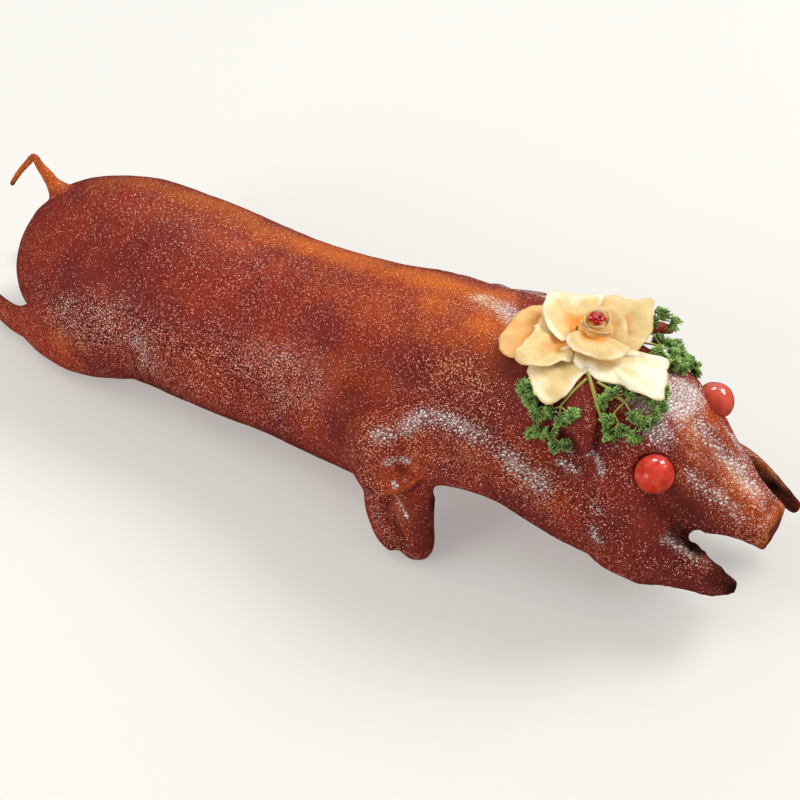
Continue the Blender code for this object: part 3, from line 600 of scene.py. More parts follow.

# Where the skin's colour is painted: line or spot on the right side, reach in millimetres and amount. It is
# mirrored, except where "near" (the right side) or "far" (the left side) keeps it to one side. Besides the
# skin's own colours
# these carry painted light: pale is painted highlight, gloss and dotted paint glints too, dark and the burnt
# black are partly painted shade, and some orange is painted light on the lit top.
skinPaint = {
    # orange: the skin's amber where it is thin; the bands on the lit top of the back and the far cheek are
    # partly painted light, as marked below
    "orange": (
        # partly painted light: the next three strokes, along the lit top and top edge of the back
        (((-170, 24, 110), (-118, 22, 110), (-60, 22, 112), (-3, 18, 123), (52, 15, 132)),
         26, 0.95, "near"),
        (((-222, 12, 106), (-178, 24, 110)), 24, 0.55, "near"),
        (((-165, 0, 115), (-108, 0, 113), (-49, 0, 117), (8, -3, 127), (52, -6, 133), (84, -12, 137)),
         24, 0.3, "near"),
        (((-200, -62, 54), (-160, -60, 66), (-136, -62, 52)), 34, 0.25),
        # partly painted light along the lit top of the far side
        (((-200, 50, 84), (-100, 50, 84), (0, 52, 92), (60, 52, 98), (110, 46, 104)), 34, 0.5, "far"),
        (((26, 1, 129), (56, -4, 133), (84, -12, 137)), 26, 0.75, "near"),
        (((-210, -63, 38), (-190, -66, 46)), 17, 0.5),
        (((52, -38, 121), (68, -37, 124), (82, -40, 123)), 22, 0.45),
        (((30, -20, 127), (56, -22, 130), (78, -24, 131)), 24, 0.5, "near"),
        (((-20, -50, 101), (20, -54, 106), (56, -55, 110), (92, -56, 108)), 22, 0.28),
        (((-50, -8, 116), (-14, -16, 119), (30, -22, 126)), 24, 0.35),
        (((-190, -62, 60), (-100, -58, 72), (-30, -60, 74)), 34, 0.15),
        (((30, -72, 92), (52, -72, 96), (90, -64, 96), (130, -58, 82)), 26, 0.3),
        (((50, -66, 72), (60, -74, 84)), 18, 0.3),
        # painted light on the far cheek, which is lit bright
        (((150, 44, 70), (185, 44, 66), (225, 46, 48)), 16, 0.9, "far"),
        (((26, -76, 83), (1, -63, 78), (36, -78, 66)), 20, 0.35),
        (((62, -70, 52), (110, -62, 50), (160, -55, 42)), 14, 0.15),
        (((185, 16, 113), (194, 12, 106), (211, 10, 93)), 12, 0.45),
        (((190, -22, 104), (206, -26, 80), (234, -16, 62)), 10, 0.3),
        (((188, -6, 112), (205, -8, 99), (238, -6, 80)), 28, 0.66, "near"),
        (((166, -14, 124), (188, -14, 110)), 16, 0.35, "near"),
        (((240, -15, 62), (243, -8, 68), (243, 4, 72)), 12, 0.9),
        (((206, -34, 58), (216, -34, 50)), 11, 0.6),
        (((44, -84, 40), (50, -85, 20), (56, -82, 8)), 14, 0.25),
        (((47, -82, 51), (55, -83, 41)), 11, 0.45),
        (((39, -82, 52), (45, -82, 57), (51, -79, 60), (58, -73, 67)), 3.5, 0.5),
        (((-246, 0, 95), (-262, 0, 110), (-288, 0, 85)), 12, 1.1),
        (((-270, -38, 18), (-300, -34, 18)), 16, 0.3),
    ),
    # dark: partly darker skin (rump, cheeks, ears, the elbow patch) and partly painted shade in creases,
    # hollows and undersides, as marked below
    "dark": (
        (((-240, 0, 96), (-222, -6, 104), (-200, -16, 108)), 22, 0.4),
        (((-228, -26, 98), (-206, -45, 90), (-172, -39, 101)), 42, 0.42),
        (((-240, -30, 80), (-245, -40, 60)), 34, 0.3),
        (((-30, -38, 108), (0, -44, 108), (24, -48, 108)), 16, 0.2),
        (((0, -60, 84), (8, -58, 94), (16, -57, 98)), 13, 0.6),
        (((-204, -12, 108), (-160, -18, 112), (-120, -22, 110)), 28, 0.45),
        (((110, -62, 44), (140, -58, 38)), 16, 0.5),
        # painted shade: the next three lines, in the hollow under the ear and the parsley, the fold below the
        # ear and on the cheek under the ear's tip
        (((84, -30, 132), (111, -38, 125), (122, -41, 118), (135, -41, 110)), 22, 0.8),
        (((131, -48, 91), (143, -48, 89), (135, -41, 110)), 20, 0.6),
        (((143, -46, 112), (156, -38, 114)), 13, 0.7),
        # painted shade under the cherry
        (((188, -34, 92), (199, -28, 82), (208, -26, 70)), 12, 0.85),
        (((165, -52, 66), (180, -47, 76), (173, -53, 54), (194, -46, 51)), 34, 0.6),
        (((207, -26, 72), (218, -24, 70)), 9, 0.6),
        (((220, -24, 66), (234, -20, 60)), 9, 0.45),
        (((178, -48, 40), (214, -40, 36)), 14, 0.6),
        # painted shade: the next two lines, along the belly's lower edge and in the crease between belly and
        # arm
        (((-150, -60, 14), (-60, -58, 20), (-8, -64, 30)), 26, 0.6),
        (((-6, -66, 50), (-2, -64, 72), (6, -58, 90)), 17, 0.5),
        # painted shade on the foreleg's forward side
        (((54, -82, 52), (62, -78, 36), (62, -78, 16)), 14, 0.55),
        (((38, -76, 72), (46, -74, 68)), 6, 0.5),
        (((116, -14, 134), (129, -27, 134), (140, -41, 121), (145, -47, 109)), 13, 0.6),
        # painted shade: the next three lines, in the leg's fold, under the arm's cuff and along the neck's
        # underside
        (((40, -83, 44), (43, -84, 37), (47, -84, 29), (51, -82, 22)), 6, 0.8),
        (((42, -83, 47), (50, -80, 53), (58, -74, 61)), 5, 0.7),
        (((98, -66, 68), (115, -61, 57), (162, -53, 35)), 16, 0.75),
        (((132, -30, 128), (140, -42, 116)), 9, 0.6),
        (((34, -48, 112), (43, -46, 117)), 10, 0.6),
    ),
    # pale: painted highlights, as plates with crackle between them, where the glaze mirrors the light:
    # flanks, shoulder crest, elbow, leg, cheeks, forehead, snout and far cheek
    "pale": (
        (((-64, -56, 72), (-50, -50, 87), (-32, -50, 92)), 22, 0.28),
        (((-198, -60, 60), (-156, -58, 70), (-140, -62, 50)), 34, 0.48),
        (((30, -74, 80), (52, -72, 92), (90, -64, 94), (130, -58, 80)), 32, 0.28),
        (((40, -76, 72), (50, -68, 78)), 16, 0.3),
        (((60, -38, 122), (76, -40, 122)), 18, 0.25),
        (((134, -50, 92), (150, -54, 74), (160, -54, 60)), 20, 0.15),
        (((52, -82, 16), (54, -80, 8)), 9, 0.35),
        (shoulderCrest, 15, 0.75),
        (((37, -79, 73), (41, -76, 75)), 5.5, 1.0),
        (((44, -72, 74), (48, -71, 73)), 6.0, 0.9),
        (((147, -47, 109), (153, -44, 98)), 8, 0.8),
        (((139, -46, 93), (130, -47, 95)), 7, 0.8),
        (((157, -57, 66), (161, -56, 58)), 8, 0.6),
        (((136, -34, 131), (142, -40, 124)), 5, 0.5),
        (((44, -80, 62), (46, -80, 60)), 4.0, 0.9),
        (((46, -82, 53), (51, -82, 48), (54, -83, 43)), 4.0, 0.9),
        (((33, -83, 37), (37, -85, 28)), 3.5, 0.5),
        (((46, 12, 132), (60, 10, 134), (71, 3, 135)), 14, 0.9, "near"),
        (((158, -51, 76), (152, -52, 78)), 10, 0.5),
        (((150, -45, 104), (164, -42, 100)), 12, 0.3),
        (((128, -43, 104), (138, -43, 98)), 6, 0.5),
        (((158, -36, 116), (172, -30, 116)), 14, 0.5),
        (((160, -9, 129), (175, 0, 122), (174, -17, 120)), 25, 1.0),
        (((189, 2, 109), (199, 3, 101), (212, 4, 91), (223, 1, 84), (236, -5, 80)), 17, 0.8, "near"),
        (((196, -20, 97), (206, -20, 90), (222, -16, 80)), 15, 0.66),
        (((220, -16, 80), (238, -12, 72)), 13, 0.6),
        (((170, -24, 118), (184, 0, 115), (181, 16, 117)), 15, 0.4, "near"),
        (((178, -8, 119), (205, -6, 100), (236, -5, 80)), 26, 0.55, "near"),
        (((240, -15, 62), (243, -10, 76), (243, 4, 76)), 12, 0.6),
        (((154, -50, 62), (170, -50, 74)), 14, 0.25),
        (((196, -40, 64), (207, -36, 56), (218, -35, 48)), 11, 0.72),
        (((170, 44, 78), (200, 46, 66), (222, 47, 52)), 9, 0.6, "far"),
        (((241, -16, 66), (240, -8, 77), (240, 8, 77)), 4, 0.8),
    ),
    # burnt black on the jaws, along edges and at the tail's tip; in the mouth and the nostril the same black
    # is painted shade
    "char": (
        (((222, -33, 42), (230, -32, 38), (238, -29, 35)), 11, 1.1, "near"),
        (((228, 47, 36), (240, 46, 31)), 9, 0.95, "far"),
        (((200, 42, 52), (222, 43, 40)), 7, 0.6, "far"),
        (((-286, 0, 87), (-289, 0, 84)), 4, 0.8),
        (((184, -50, 30), (206, -40, 29), (228, -34, 30)), 5, 0.6),
        (((60, -68, 44), (98, -62, 50), (120, -58, 44), (150, -52, 31)), 8, 0.8),
        (((55, -72, 2), (46, -78, 2)), 9, 0.6),
        # painted shade in the nostril
        (((244, -6.5, 63.5),), 3.2, 0.95),
        # painted shade: the mouth's corner here and, on the next line, the roof of the mouth
        (((200, -35, 67), (206, -32, 61), (210, -30, 56)), 8, 2.2),
        (((204, 0, 56), (236, 0, 52)), 22, 0.8),
        (((180, 36, 50), (205, 37, 52), (236, 41, 38)), 17, 1.1, "far"),
    ),
    # gloss: where the glaze is wet and mirrors the lamps; here the skin is also painted with pink plates as
    # painted glints
    "gloss": (
        (((-68, -54, 80), (-50, -50, 88), (-36, -47, 94), (-24, -56, 80), (-44, -60, 66)), 24, 1.0),
        (shoulderCrest, 19, 1.0),
        (((36, -78, 76), (46, -72, 75)), 10, 1.0),
        (((47, -82, 51), (55, -83, 41)), 10, 0.9),
        (((32, -82, 46), (36, -85, 27), (44, -85, 20)), 8, 0.8),
        (((136, -34, 131), (144, -42, 121)), 7, 0.9),
        (((140, -41, 97), (147, -47, 109)), 8, 0.7),
        (((130, -47, 95),), 8, 0.7),
        (((159, -57, 62), (152, -56, 74)), 12, 0.5),
        (((65, -70, 68), (102, -65, 65)), 7, 0.8),
    ),
    # dotted: where the blister tips are many and bright, partly the blisters' pale tops and partly painted
    # glints
    "dotted": (
        (((-204, -12, 108), (-160, -18, 112), (-100, -24, 110)), 32, 0.5),
        (((-206, -62, 54), (-172, -60, 66), (-138, -60, 68), (-104, -57, 70), (-70, -57, 72),
         (-36, -58, 76)), 32, 1.0),
        (((-150, -62, 45), (-100, -61, 45), (-50, -61, 45)), 24, 0.7),
        (((45, -45, 118), (67, -38, 124), (85, -45, 118)), 22, 0.9),
        (((26, -74, 84), (42, -67, 94), (58, -60, 104), (86, -59, 105), (109, -60, 95), (130, -58, 82)),
         26, 0.9),
        (((60, -70, 84), (100, -67, 76), (140, -60, 66)), 20, 0.6),
        (((134, -50, 96), (160, -55, 68)), 26, 1.0),
        (((120, -60, 70), (150, -58, 50), (176, -52, 38)), 20, 0.8),
        (((206, -34, 70), (236, -18, 64)), 14, 1.0),
        (((148, -45, 104), (166, -42, 98)), 15, 0.9),
        (((170, -55, 62), (190, -52, 50), (208, -40, 46)), 18, 0.9),
        (((26, -74, 70), (34, -84, 46), (48, -86, 20), (54, -80, 6)), 16, 0.8),
    ),
}


def trunkSection(row):
    x, halfWidth, wideAt, top, bottom, topPower, bottomPower = row

    def point(angle):
        c, s = math.cos(angle), math.sin(angle)
        power, reach = (topPower, top - wideAt) if s >= 0 else (bottomPower, wideAt - bottom)
        y = halfWidth * math.copysign(abs(c) ** (2 / power), c)
        z = wideAt + reach * math.copysign(abs(s) ** (2 / power), s)
        return Vector((x, y, z))

    return point


def sinkSockets(co):
    # each cherry is pressed in: the skin under it takes its shape, with a low lip round it
    radius = cherries["socket"]
    past, halfWidth, high = cherries["lip"]
    for eye in cherries["eyes"].values():
        axis = np.array(eye["outward"], float)
        axis /= np.linalg.norm(axis)
        offset = co - np.array(eye["spot"], float)
        along = offset @ axis
        aside = np.linalg.norm(offset - along[:, None] * axis, axis=1)
        inside = (aside < radius) & (along > -radius * 1.4) & (along < radius * 1.6)
        floor = -np.sqrt(np.clip(radius**2 - aside**2, 0, None))
        sink = np.where(inside & (along > floor), along - floor, 0)
        lip = np.clip(1 - np.abs(aside - radius - past) / halfWidth, 0, 1) ** 2 * (np.abs(along) < radius)
        co = co - axis * sink[:, None] + axis * (high * lip * (sink == 0))[:, None]
    return co


def strokeSum(co, name):
    total = np.zeros(len(co))
    for line, reach, amount, *oneSide in skinPaint[name]:
        for side in (1,) if oneSide else (1, -1):
            total = np.maximum(total, amount * nearLine(co, line, reach, side))
    return np.clip(total, 0, 1)


def paintSkin(obj, co):
    wander = 0.85 + 0.4 * noiseAt(co, 14, 3.0)  # so that no stroke ends in an even edge
    for name in skinPaint:
        setMask(obj, name, np.clip(strokeSum(co, name) * wander, 0, 1))


def makePig(material):
    bm = bmesh.new()
    rings = pigBody["rings"]
    loft(bm, [trunkSection(between(pigBody["trunk"], i / rings)) for i in range(rings + 1)], pigBody["sides"])
    for side in (-1, 1):
        for name, wide in pigBody["pairs"].items():
            addLimb(bm, pigBody[name], wide, side)
    for name, wide in pigBody["singles"].items():
        addLimb(bm, pigBody[name], wide)
    pig = meshObject("roastPigSkin", bm)
    remesh = pig.modifiers.new("oneSkin", "REMESH")
    remesh.mode = "VOXEL"
    remesh.voxel_size = pigBody["cell"]
    soften = pig.modifiers.new("soften", "SMOOTH")
    soften.factor = pigBody["softenBy"]
    soften.iterations = pigBody["softenRounds"]
    settled(pig)
    co = readPoints(pig)
    lift = np.zeros(len(co))
    for line, reach, height in pigBody["folds"] + pigBody["wrinkles"]:
        for side in (1, -1):
            lift += height * nearLine(co, line, reach, side)
    for line, reach, height in pigBody["farFolds"]:
        lift += height * nearLine(co, line, reach)
    co = co + readPoints(pig, "normal") * lift[:, None]
    setPoints(pig, co)
    relief = sum(height * noiseAt(co, size, seed) for size, seed, height in pigBody["lumps"])
    size, seed, height = pigBody["charLumps"]
    relief += strokeSum(co, "char") * (height * noiseAt(co, size, seed) + pigBody["charSwell"])
    for line, reach, height in pigBody["crumpled"]:
        relief += height * nearLine(co, line, reach) * noiseAt(co, *pigBody["crumpleLumps"])
    co = sinkSockets(co + readPoints(pig, "normal") * relief[:, None])
    co[:, 2] = np.where(co[:, 2] < pigBody["ground"], 0.0, co[:, 2])
    setPoints(pig, co)
    print("pig skin:", len(co), "points")
    paintSkin(pig, co)
    pig.data.materials.clear()
    pig.data.materials.append(material)
    return pig


def makeTail(material):
    bm = bmesh.new()
    addLimb(bm, pigBody["tail"], (0, 1, 0), steps=48, sides=14)
    tail = meshObject("driedTail", bm)
    co = readPoints(tail)
    size, seed, height = pigBody["tailLumps"]
    co = co + readPoints(tail, "normal") * (height * noiseAt(co, size, seed))[:, None]
    setPoints(tail, co)
    paintSkin(tail, co)
    tail.data.materials.append(material)
    return tail


def makeCherry(eye, material):
    spot = Vector(eye["spot"])
    turn = Vector(eye["outward"]).normalized().to_track_quat("Z", "Y").to_matrix()
    ringAt, ringWidth, ringDepth = cherries["ring"]
    pitWidth, pitDepth = cherries["pit"]
    bm = bmesh.new()
    bmesh.ops.create_icosphere(bm, subdivisions=5, radius=cherries["radius"])
    for vert in bm.verts:
        way = vert.co.normalized()
        towards = max(0, way.dot(Vector(cherries["ringSide"])) + 0.2)
        depth = 0.35 * noise.noise(way * 1.7 + spot) + 0.1 * noise.noise(way * 5 + spot)
        for dent in cherries["dents"]:
            near = (way - Vector(dent).normalized()).length
            depth += ringDepth * math.exp(-((near - ringAt) / ringWidth) ** 2) * towards
            depth += pitDepth * math.exp(-(near / pitWidth) ** 2)
        vert.co = turn @ (way * (cherries["radius"] - cherries["inset"] - depth * cherries["depth"]))
    bmesh.ops.translate(bm, vec=spot, verts=bm.verts)
    cherry = meshObject(eye["name"], bm)
    cherry.data.materials.append(material)
    return cherry


# The rose

rose = {
    "foot": (117, 5, 139), "heart": (120.5, 7.5), "thickness": 0.5, "roomUnder": 1.2, "ragged": 1.5,
    # the closed petals of the bud run to the bright cream, painted as light coming through them
    "petalGrid": (64, 30), "wrapGrid": (36, 18), "wrapCream": (0.4, 1.1),
    # A petal is a fan from its root to its rim. Root and rim are given round the foot as a direction
    # in degrees, a reach and a height. Rise lifts the middle, roll turns the rim up or down.
    # Cream sets how orange the root and how pale the rim are: a low start is partly painted shade, and an end
    # that reaches the bright colour is painted light.
    "petals": (
        {"root": (270, 4, -1), "cream": (0.2, 1.25), "rise": 3.5, "roll": -1.0, "wave": 1.1, "ragged": 0.5,
         "rim": (
            (236, 33, -2), (243, 40, -2.5), (251, 43, -3), (258, 46.5, -4), (264, 49, -5), (270, 49.5, -6),
            (275, 47, -6), (280, 42.5, -5), (285, 36, -4), (290, 31, -3), (298, 27, -2))},
        # this petal lies in shade, painted as a darker, more orange cream
        {"root": (200, 4, 0), "cream": (-0.5, 0.5), "rise": 1.0, "roll": -0.6, "wave": 0.8, "ragged": 0.3,
         "rim": (
            (156, 36, -1), (166, 41, -1), (179, 43.5, -1), (191, 44.5, -1), (201, 46.5, -1.5),
            (209, 48.5, -2), (217, 48.5, -2), (224, 46, -2), (231, 40, -2), (238, 30, -2))},
        {"root": (230, 5, 1), "cream": (-0.25, 1.1), "rise": 1.5, "roll": -0.8, "wave": 1.2, "ragged": 1.0,
         "rim": (
            (166, 32, 3), (180, 29, 5), (194, 28.5, 5.5), (208, 31, 5), (220, 36, 4), (230, 43, 4),
            (238, 44.5, 3), (244, 42, 2.5), (250, 37, 2.5), (256, 32.5, 2.5), (264, 27, 3), (274, 22.5, 3))},
        # this petal is lit, and its rim reaches the near-white, partly as painted highlight
        {"root": (300, 8, 3), "cream": (0.45, 1.6), "rise": 2.5, "roll": -0.8, "wave": 0.6, "ragged": 0.9,
         "rim": (
            (244, 19, 4), (258, 20.5, 3.5), (274, 21.5, 2), (286, 25, 1), (294, 28.5, 0), (302, 30, 0),
            (310, 33, 0), (320, 36.5, 0), (327, 39.5, 0), (329, 44.5, 0), (334, 51, 0), (337, 57, -1),
            (340, 59, -1), (343, 57.5, -1), (347, 55, 0), (352, 52, 0.5), (359, 49, 1), (7, 47, 2),
            (7, 43, 2), (2, 36, 2.5), (355, 32.5, 3), (350, 28, 3))},
        {"root": (40, 6, 3), "cream": (-0.2, 1.05), "rise": -2.0, "roll": -1.0, "wave": 1.0, "ragged": 0.4,
         "rim": (
            (98, 22, 11), (95, 28, 10.5), (90, 31.5, 9.5), (83, 32.5, 9.5), (77, 34, 9.5), (71, 38.5, 9.5),
            (66, 42, 9.5), (61, 43.5, 9), (56, 40.5, 9), (48, 38, 8.5), (40, 36.5, 8), (30, 34.5, 7),
            (20, 31.5, 5.5), (10, 29.5, 4), (2, 27, 3), (354, 22, 3))},
        {"root": (180, 5, 3), "cream": (-0.1, 1.4), "rise": -1.0, "roll": -1.6, "wave": 0.9, "ragged": 0.4,
         "rim": (
            (234, 15, 5), (224, 18, 7), (210, 21, 8), (193, 24.5, 9), (177, 29.5, 10), (166, 32, 10.5),
            (158, 34.5, 11), (150, 32, 11), (140, 29, 11), (131, 27, 11), (118, 25.7, 11.5),
            (108, 26.5, 12), (102, 27.5, 12.5), (95, 22, 12))},
        {"root": (40, 6, 5), "cream": (-0.2, 1.1), "rise": -2.5, "roll": -0.8, "wave": 0.4, "ragged": 0.2,
         "rim": (
            (112, 12, 12), (92, 15, 12.5), (77, 17.5, 12.5), (64, 19.5, 12), (52, 20.5, 11.5),
            (40, 20.8, 11), (27, 21, 10.5), (12, 22, 9.5), (0, 23, 8.5), (350, 23, 7.5))},
        {"root": (310, 6, 8), "cream": (-0.2, 1.2), "rise": 5.0, "roll": 0.6, "wave": 0.5, "ragged": 0.3,
         "rim": (
            (230, 12, 7.5), (246, 15.5, 7), (262, 18, 7), (276, 19.5, 7), (290, 21, 7), (303, 22.5, 7),
            (314, 25, 7), (325, 27, 7), (335, 28, 7.5), (344, 28.2, 8.5), (352, 28, 9.5))},
    ),
    # petals still closed round the heart: middle direction, spread, reach, height
    "wraps": ((110, 230, 5.4, 17.6), (290, 200, 6.0, 15.2), (190, 190, 7.2, 16.6), (30, 190, 7.6, 17.0),
              (270, 190, 8.6, 13.4)),
    # the middle of the bud: half width, half height, how orange
    "core": (6.4, 7.6, 0.35),
    "heartBits": 24, "heartBit": 1.6, "heartReach": 4.4, "heartHeight": 15.6, "heartEdge": 0.3,
}


def roundFoot(row, centre):
    way, reach, height = row
    way = math.radians(way)
    return Vector((centre[0] + math.cos(way) * reach, centre[1] + math.sin(way) * reach,
                   rose["foot"][2] + height))


def fanPlace(plan, number, centre, skinTop):
    root = roundFoot(plan["root"], centre)
    rim = [roundFoot(row, centre) for row in plan["rim"]]

    def place(u, v):
        # u runs round the rim, v from root to rim
        edge = Vector(between(rim, u))
        edge += (edge - root).normalized() * plan["ragged"] * rose["ragged"] * (
            noise.noise(Vector((u * 16, number * 3.7, 1))) + 0.7 * noise.noise(Vector((u * 45, number, 2))))
        start = root.lerp(edge, 0.1)
        middle = start.lerp(edge, 0.5) + Vector((0, 0, plan["rise"]))
        spot = start * (1 - v) ** 2 + middle * 2 * v * (1 - v) + edge * v**2
        # ripples: two over the whole petal, and three that grow towards the rim
        ripple = noise.noise(Vector((spot.x / 9, spot.y / 9, number * 4.1))) * 1.5
        ripple += noise.noise(Vector((u * 5, v * 2.2, number * 5.1))) * v * 1.3
        ripple += noise.noise(Vector((u * 9, v * 1.3, number * 2.3))) * v * 1.1
        ripple += noise.noise(Vector((spot.x / 3.5, spot.y / 3.5, number * 1.7))) * 0.22
        ripple += noise.noise(Vector((u * 30, v * 3, number * 6.3))) * v * v * 0.35
        spot.z += plan["wave"] * ripple + plan["roll"] * max(0, v - 0.72) ** 2 * 12
        spot.z = max(spot.z, skinTop(spot.x, spot.y) + rose["roomUnder"])
        return spot

    return place


def addPetal(whole, place, grid, number, cream):
    bm = bmesh.new()
    layers = {name: bm.verts.layers.float.new(name) for name in ("along", "rim", "fan")}
    for vert in bmesh.ops.create_grid(bm, x_segments=grid[0], y_segments=grid[1], size=1)["verts"]:
        u, v = vert.co.x * 0.5 + 0.5, vert.co.y * 0.5 + 0.5
        vert[layers["along"]] = cream[0] + (cream[1] - cream[0]) * v
        vert[layers["rim"]] = max(abs(2 * u - 1), v)
        vert[layers["fan"]] = u + number * 3
        vert.co = place(u, v)
    petal = meshObject("petal", bm, outward=False)
    wall = petal.modifiers.new("wall", "SOLIDIFY")
    wall.thickness = rose["thickness"]
    wall.offset = 0
    settled(petal)
    whole.from_mesh(petal.data)
    bpy.data.objects.remove(petal)


def makeRose(skinTop, material):
    whole = bmesh.new()
    for number, plan in enumerate(rose["petals"]):
        place = fanPlace(plan, number, rose["foot"], skinTop)
        addPetal(whole, place, rose["petalGrid"], number, plan["cream"])
    for number, (way, spread, reach, height) in enumerate(rose["wraps"], 20):
        rim = [(way + spread * (i / 8 - 0.5), reach * (1.1 - 0.12 * math.sin(i * math.pi / 8)),
                height * (0.72 + 0.28 * math.sin(i * math.pi / 8))) for i in range(9)]
        plan = {"root": (way, 1.0, 5), "rise": -3.0, "roll": -0.5, "wave": 0.35, "ragged": 0.25, "rim": rim}
        place = fanPlace(plan, number, rose["heart"], skinTop)
        addPetal(whole, place, rose["wrapGrid"], number, rose["wrapCream"])
    wide, tall, along = rose["core"]
    core = bmesh.ops.create_uvsphere(whole, u_segments=32, v_segments=16, radius=1.0)["verts"]
    for vert in core:
        vert[whole.verts.layers.float["along"]] = along
        widen = wide * (1.5 - 0.55 * vert.co.z)
        vert.co = Vector((vert.co.x * widen, vert.co.y * widen, vert.co.z * tall))
    bmesh.ops.translate(whole, vec=(*rose["heart"], rose["foot"][2] + tall), verts=core)
    flower = meshObject("rosePetals", whole, outward=False)
    flower.data.materials.append(material)
    return flower


def makeHeart(material):
    rng = random.Random(5)
    middle = Vector((*rose["heart"], rose["foot"][2] + rose["heartHeight"]))
    whole = bmesh.new()
    for i in range(rose["heartBits"]):
        bit = bmesh.ops.create_cube(whole, size=rose["heartBit"] * rng.uniform(0.85, 1.25))["verts"]
        turn = Matrix.Rotation(rng.uniform(0, 3), 3, Vector((rng.random(), rng.random(), 1)).normalized())
        bmesh.ops.rotate(whole, matrix=turn, verts=bit)
        way = 2.4 * i  # near the golden angle, so the bits spread evenly
        reach = rose["heartReach"] * math.sqrt(i / rose["heartBits"])
        lift = rng.uniform(0, 1.2) - 0.15 * reach
        spot = middle + Vector((math.cos(way) * reach, math.sin(way) * reach, lift))
        bmesh.ops.translate(whole, vec=spot, verts=bit)
    heart = meshObject("candiedBits", whole)
    bevel = heart.modifiers.new("softEdges", "BEVEL")
    bevel.width = rose["heartEdge"]
    bevel.segments = 2
    settled(heart)
    heart.data.materials.append(material)
    return heart


# The parsley

parsley = {
    "leafThickness": 0.22, "leaflet": 3.6, "leafletsInTuft": 19, "twig": 0.42, "stem": 0.9,
    # fingers of a leaflet: how deep they are cut, how close, and how they ruffle and fan out
    "cut": 0.44, "fingers": 12, "ruffle": 0.3, "halfFan": 0.75,
    # Each sprig lies on the skin. Heart: where its stem forks. Root: the other end of the stem.
    # Tufts are given round the heart: direction in degrees, reach, height over the skin.
    "sprigs": {
        "parsley_right": {
            "name": "parsleySprigRight", "seed": 3, "heart": (124, -37, 4), "root": (131, -23, 1), "tufts": (
                (182, 22, 5), (190, 18, 4), (182, 15, 5), (196, 14, 3), (206, 12, 3), (220, 14, 3),
                (232, 10, 2), (250, 7, 3), (282, 8, 3), (318, 8, 3), (340, 9, 3), (300, 4, 4),
                (170, 9, 5), (210, 6, 4))},
        "parsley_front": {
            "name": "parsleySprigFront", "seed": 11, "heart": (153, -21, 4), "root": (136, -21, 1),
            "bareStems": (((130, -20, 141), (136, -26, 137), (142, -31, 131), (148, -34, 122)),), "tufts": (
                (170, 15, 4), (150, 12, 6), (122, 10, 5), (92, 11, 5), (62, 14, 4), (40, 13, 5), (16, 17, 3),
                (350, 14, 4), (318, 15, 3), (296, 12, 4), (268, 14, 3), (246, 11, 4),
                (212, 13, 3), (186, 8, 5), (32, 20, 3), (50, 22, 5), (80, 5, 6), (335, 8, 6))},
        "parsley_left": {
            "name": "parsleySprigLeft", "seed": 21, "heart": (150, 26, 6), "root": (136, 14, 2), "tufts": (
                (165, 10, 5), (140, 11, 8), (118, 13, 9), (100, 15, 9), (82, 17, 9), (66, 17, 8), (48, 17, 7),
                (30, 16, 6), (12, 15, 5), (352, 15, 4), (330, 14, 4), (308, 12, 4), (285, 9, 5), (80, 9, 9),
                (40, 9, 8), (0, 8, 6), (130, 5, 7), (20, 21, 3))},
    },
}


def addLeaflet(bm, layers, base, along, up, size, rng):
    # a ruffled fan cut into narrow fingers at the rim
    side = up.cross(along).normalized()
    phase = rng.uniform(0, 6.28)
    curl = rng.uniform(-0.5, 0.6)
    for vert in bmesh.ops.create_grid(bm, x_segments=15, y_segments=4, size=1)["verts"]:
        u, v = vert.co.x, vert.co.y * 0.5 + 0.5
        turn = parsley["fingers"] * u + phase
        radius = size * (0.05 + 0.95 * v) * (1 - 0.2 * u * u + parsley["cut"] * v * v * math.cos(turn))
        lift = size * (parsley["ruffle"] * math.sin(turn + 1) * v + curl * v * v)
        angle = parsley["halfFan"] * u
        vert[layers["tip"]] = v
        vert.co = base + along * radius * math.cos(angle) + side * radius * math.sin(angle) + up * lift


def addTwig(bm, points, thick, thin):
    sizes = [thick + (thin - thick) * i / (len(points) - 1) for i in range(len(points))]
    along = (points[-1] - points[0]).normalized()
    addLimb(bm, list(zip(points, sizes, sizes)), along.orthogonal(), steps=8, sides=6)


def addTuft(leaves, layers, top, ahead, normal, room, rng):
    # leaflets open round a pole, the later ones wider
    pole = (ahead + normal * 0.9).normalized()
    aside = pole.orthogonal().normalized()
    for k in range(parsley["leafletsInTuft"]):
        spin = 2.4 * k + rng.uniform(-0.3, 0.3)
        opening = 0.35 + 1.1 * (k + 0.5) / parsley["leafletsInTuft"]
        ring = Matrix.Rotation(spin, 3, pole) @ aside
        aim = (pole * math.cos(opening) + ring * math.sin(opening)).normalized()
        if aim.dot(normal) < -0.15:  # none grows into the skin
            aim = (aim - normal * aim.dot(normal)).normalized()
        tilt = Vector([rng.uniform(-1, 1) for _ in range(3)])
        tilt = (tilt - aim * tilt.dot(aim)).normalized()
        start = top - pole * rng.uniform(0.0, 1.8)
        size = parsley["leaflet"] * rng.uniform(0.6, 1.25) * room
        addLeaflet(leaves, layers, start, aim, tilt, size, rng)


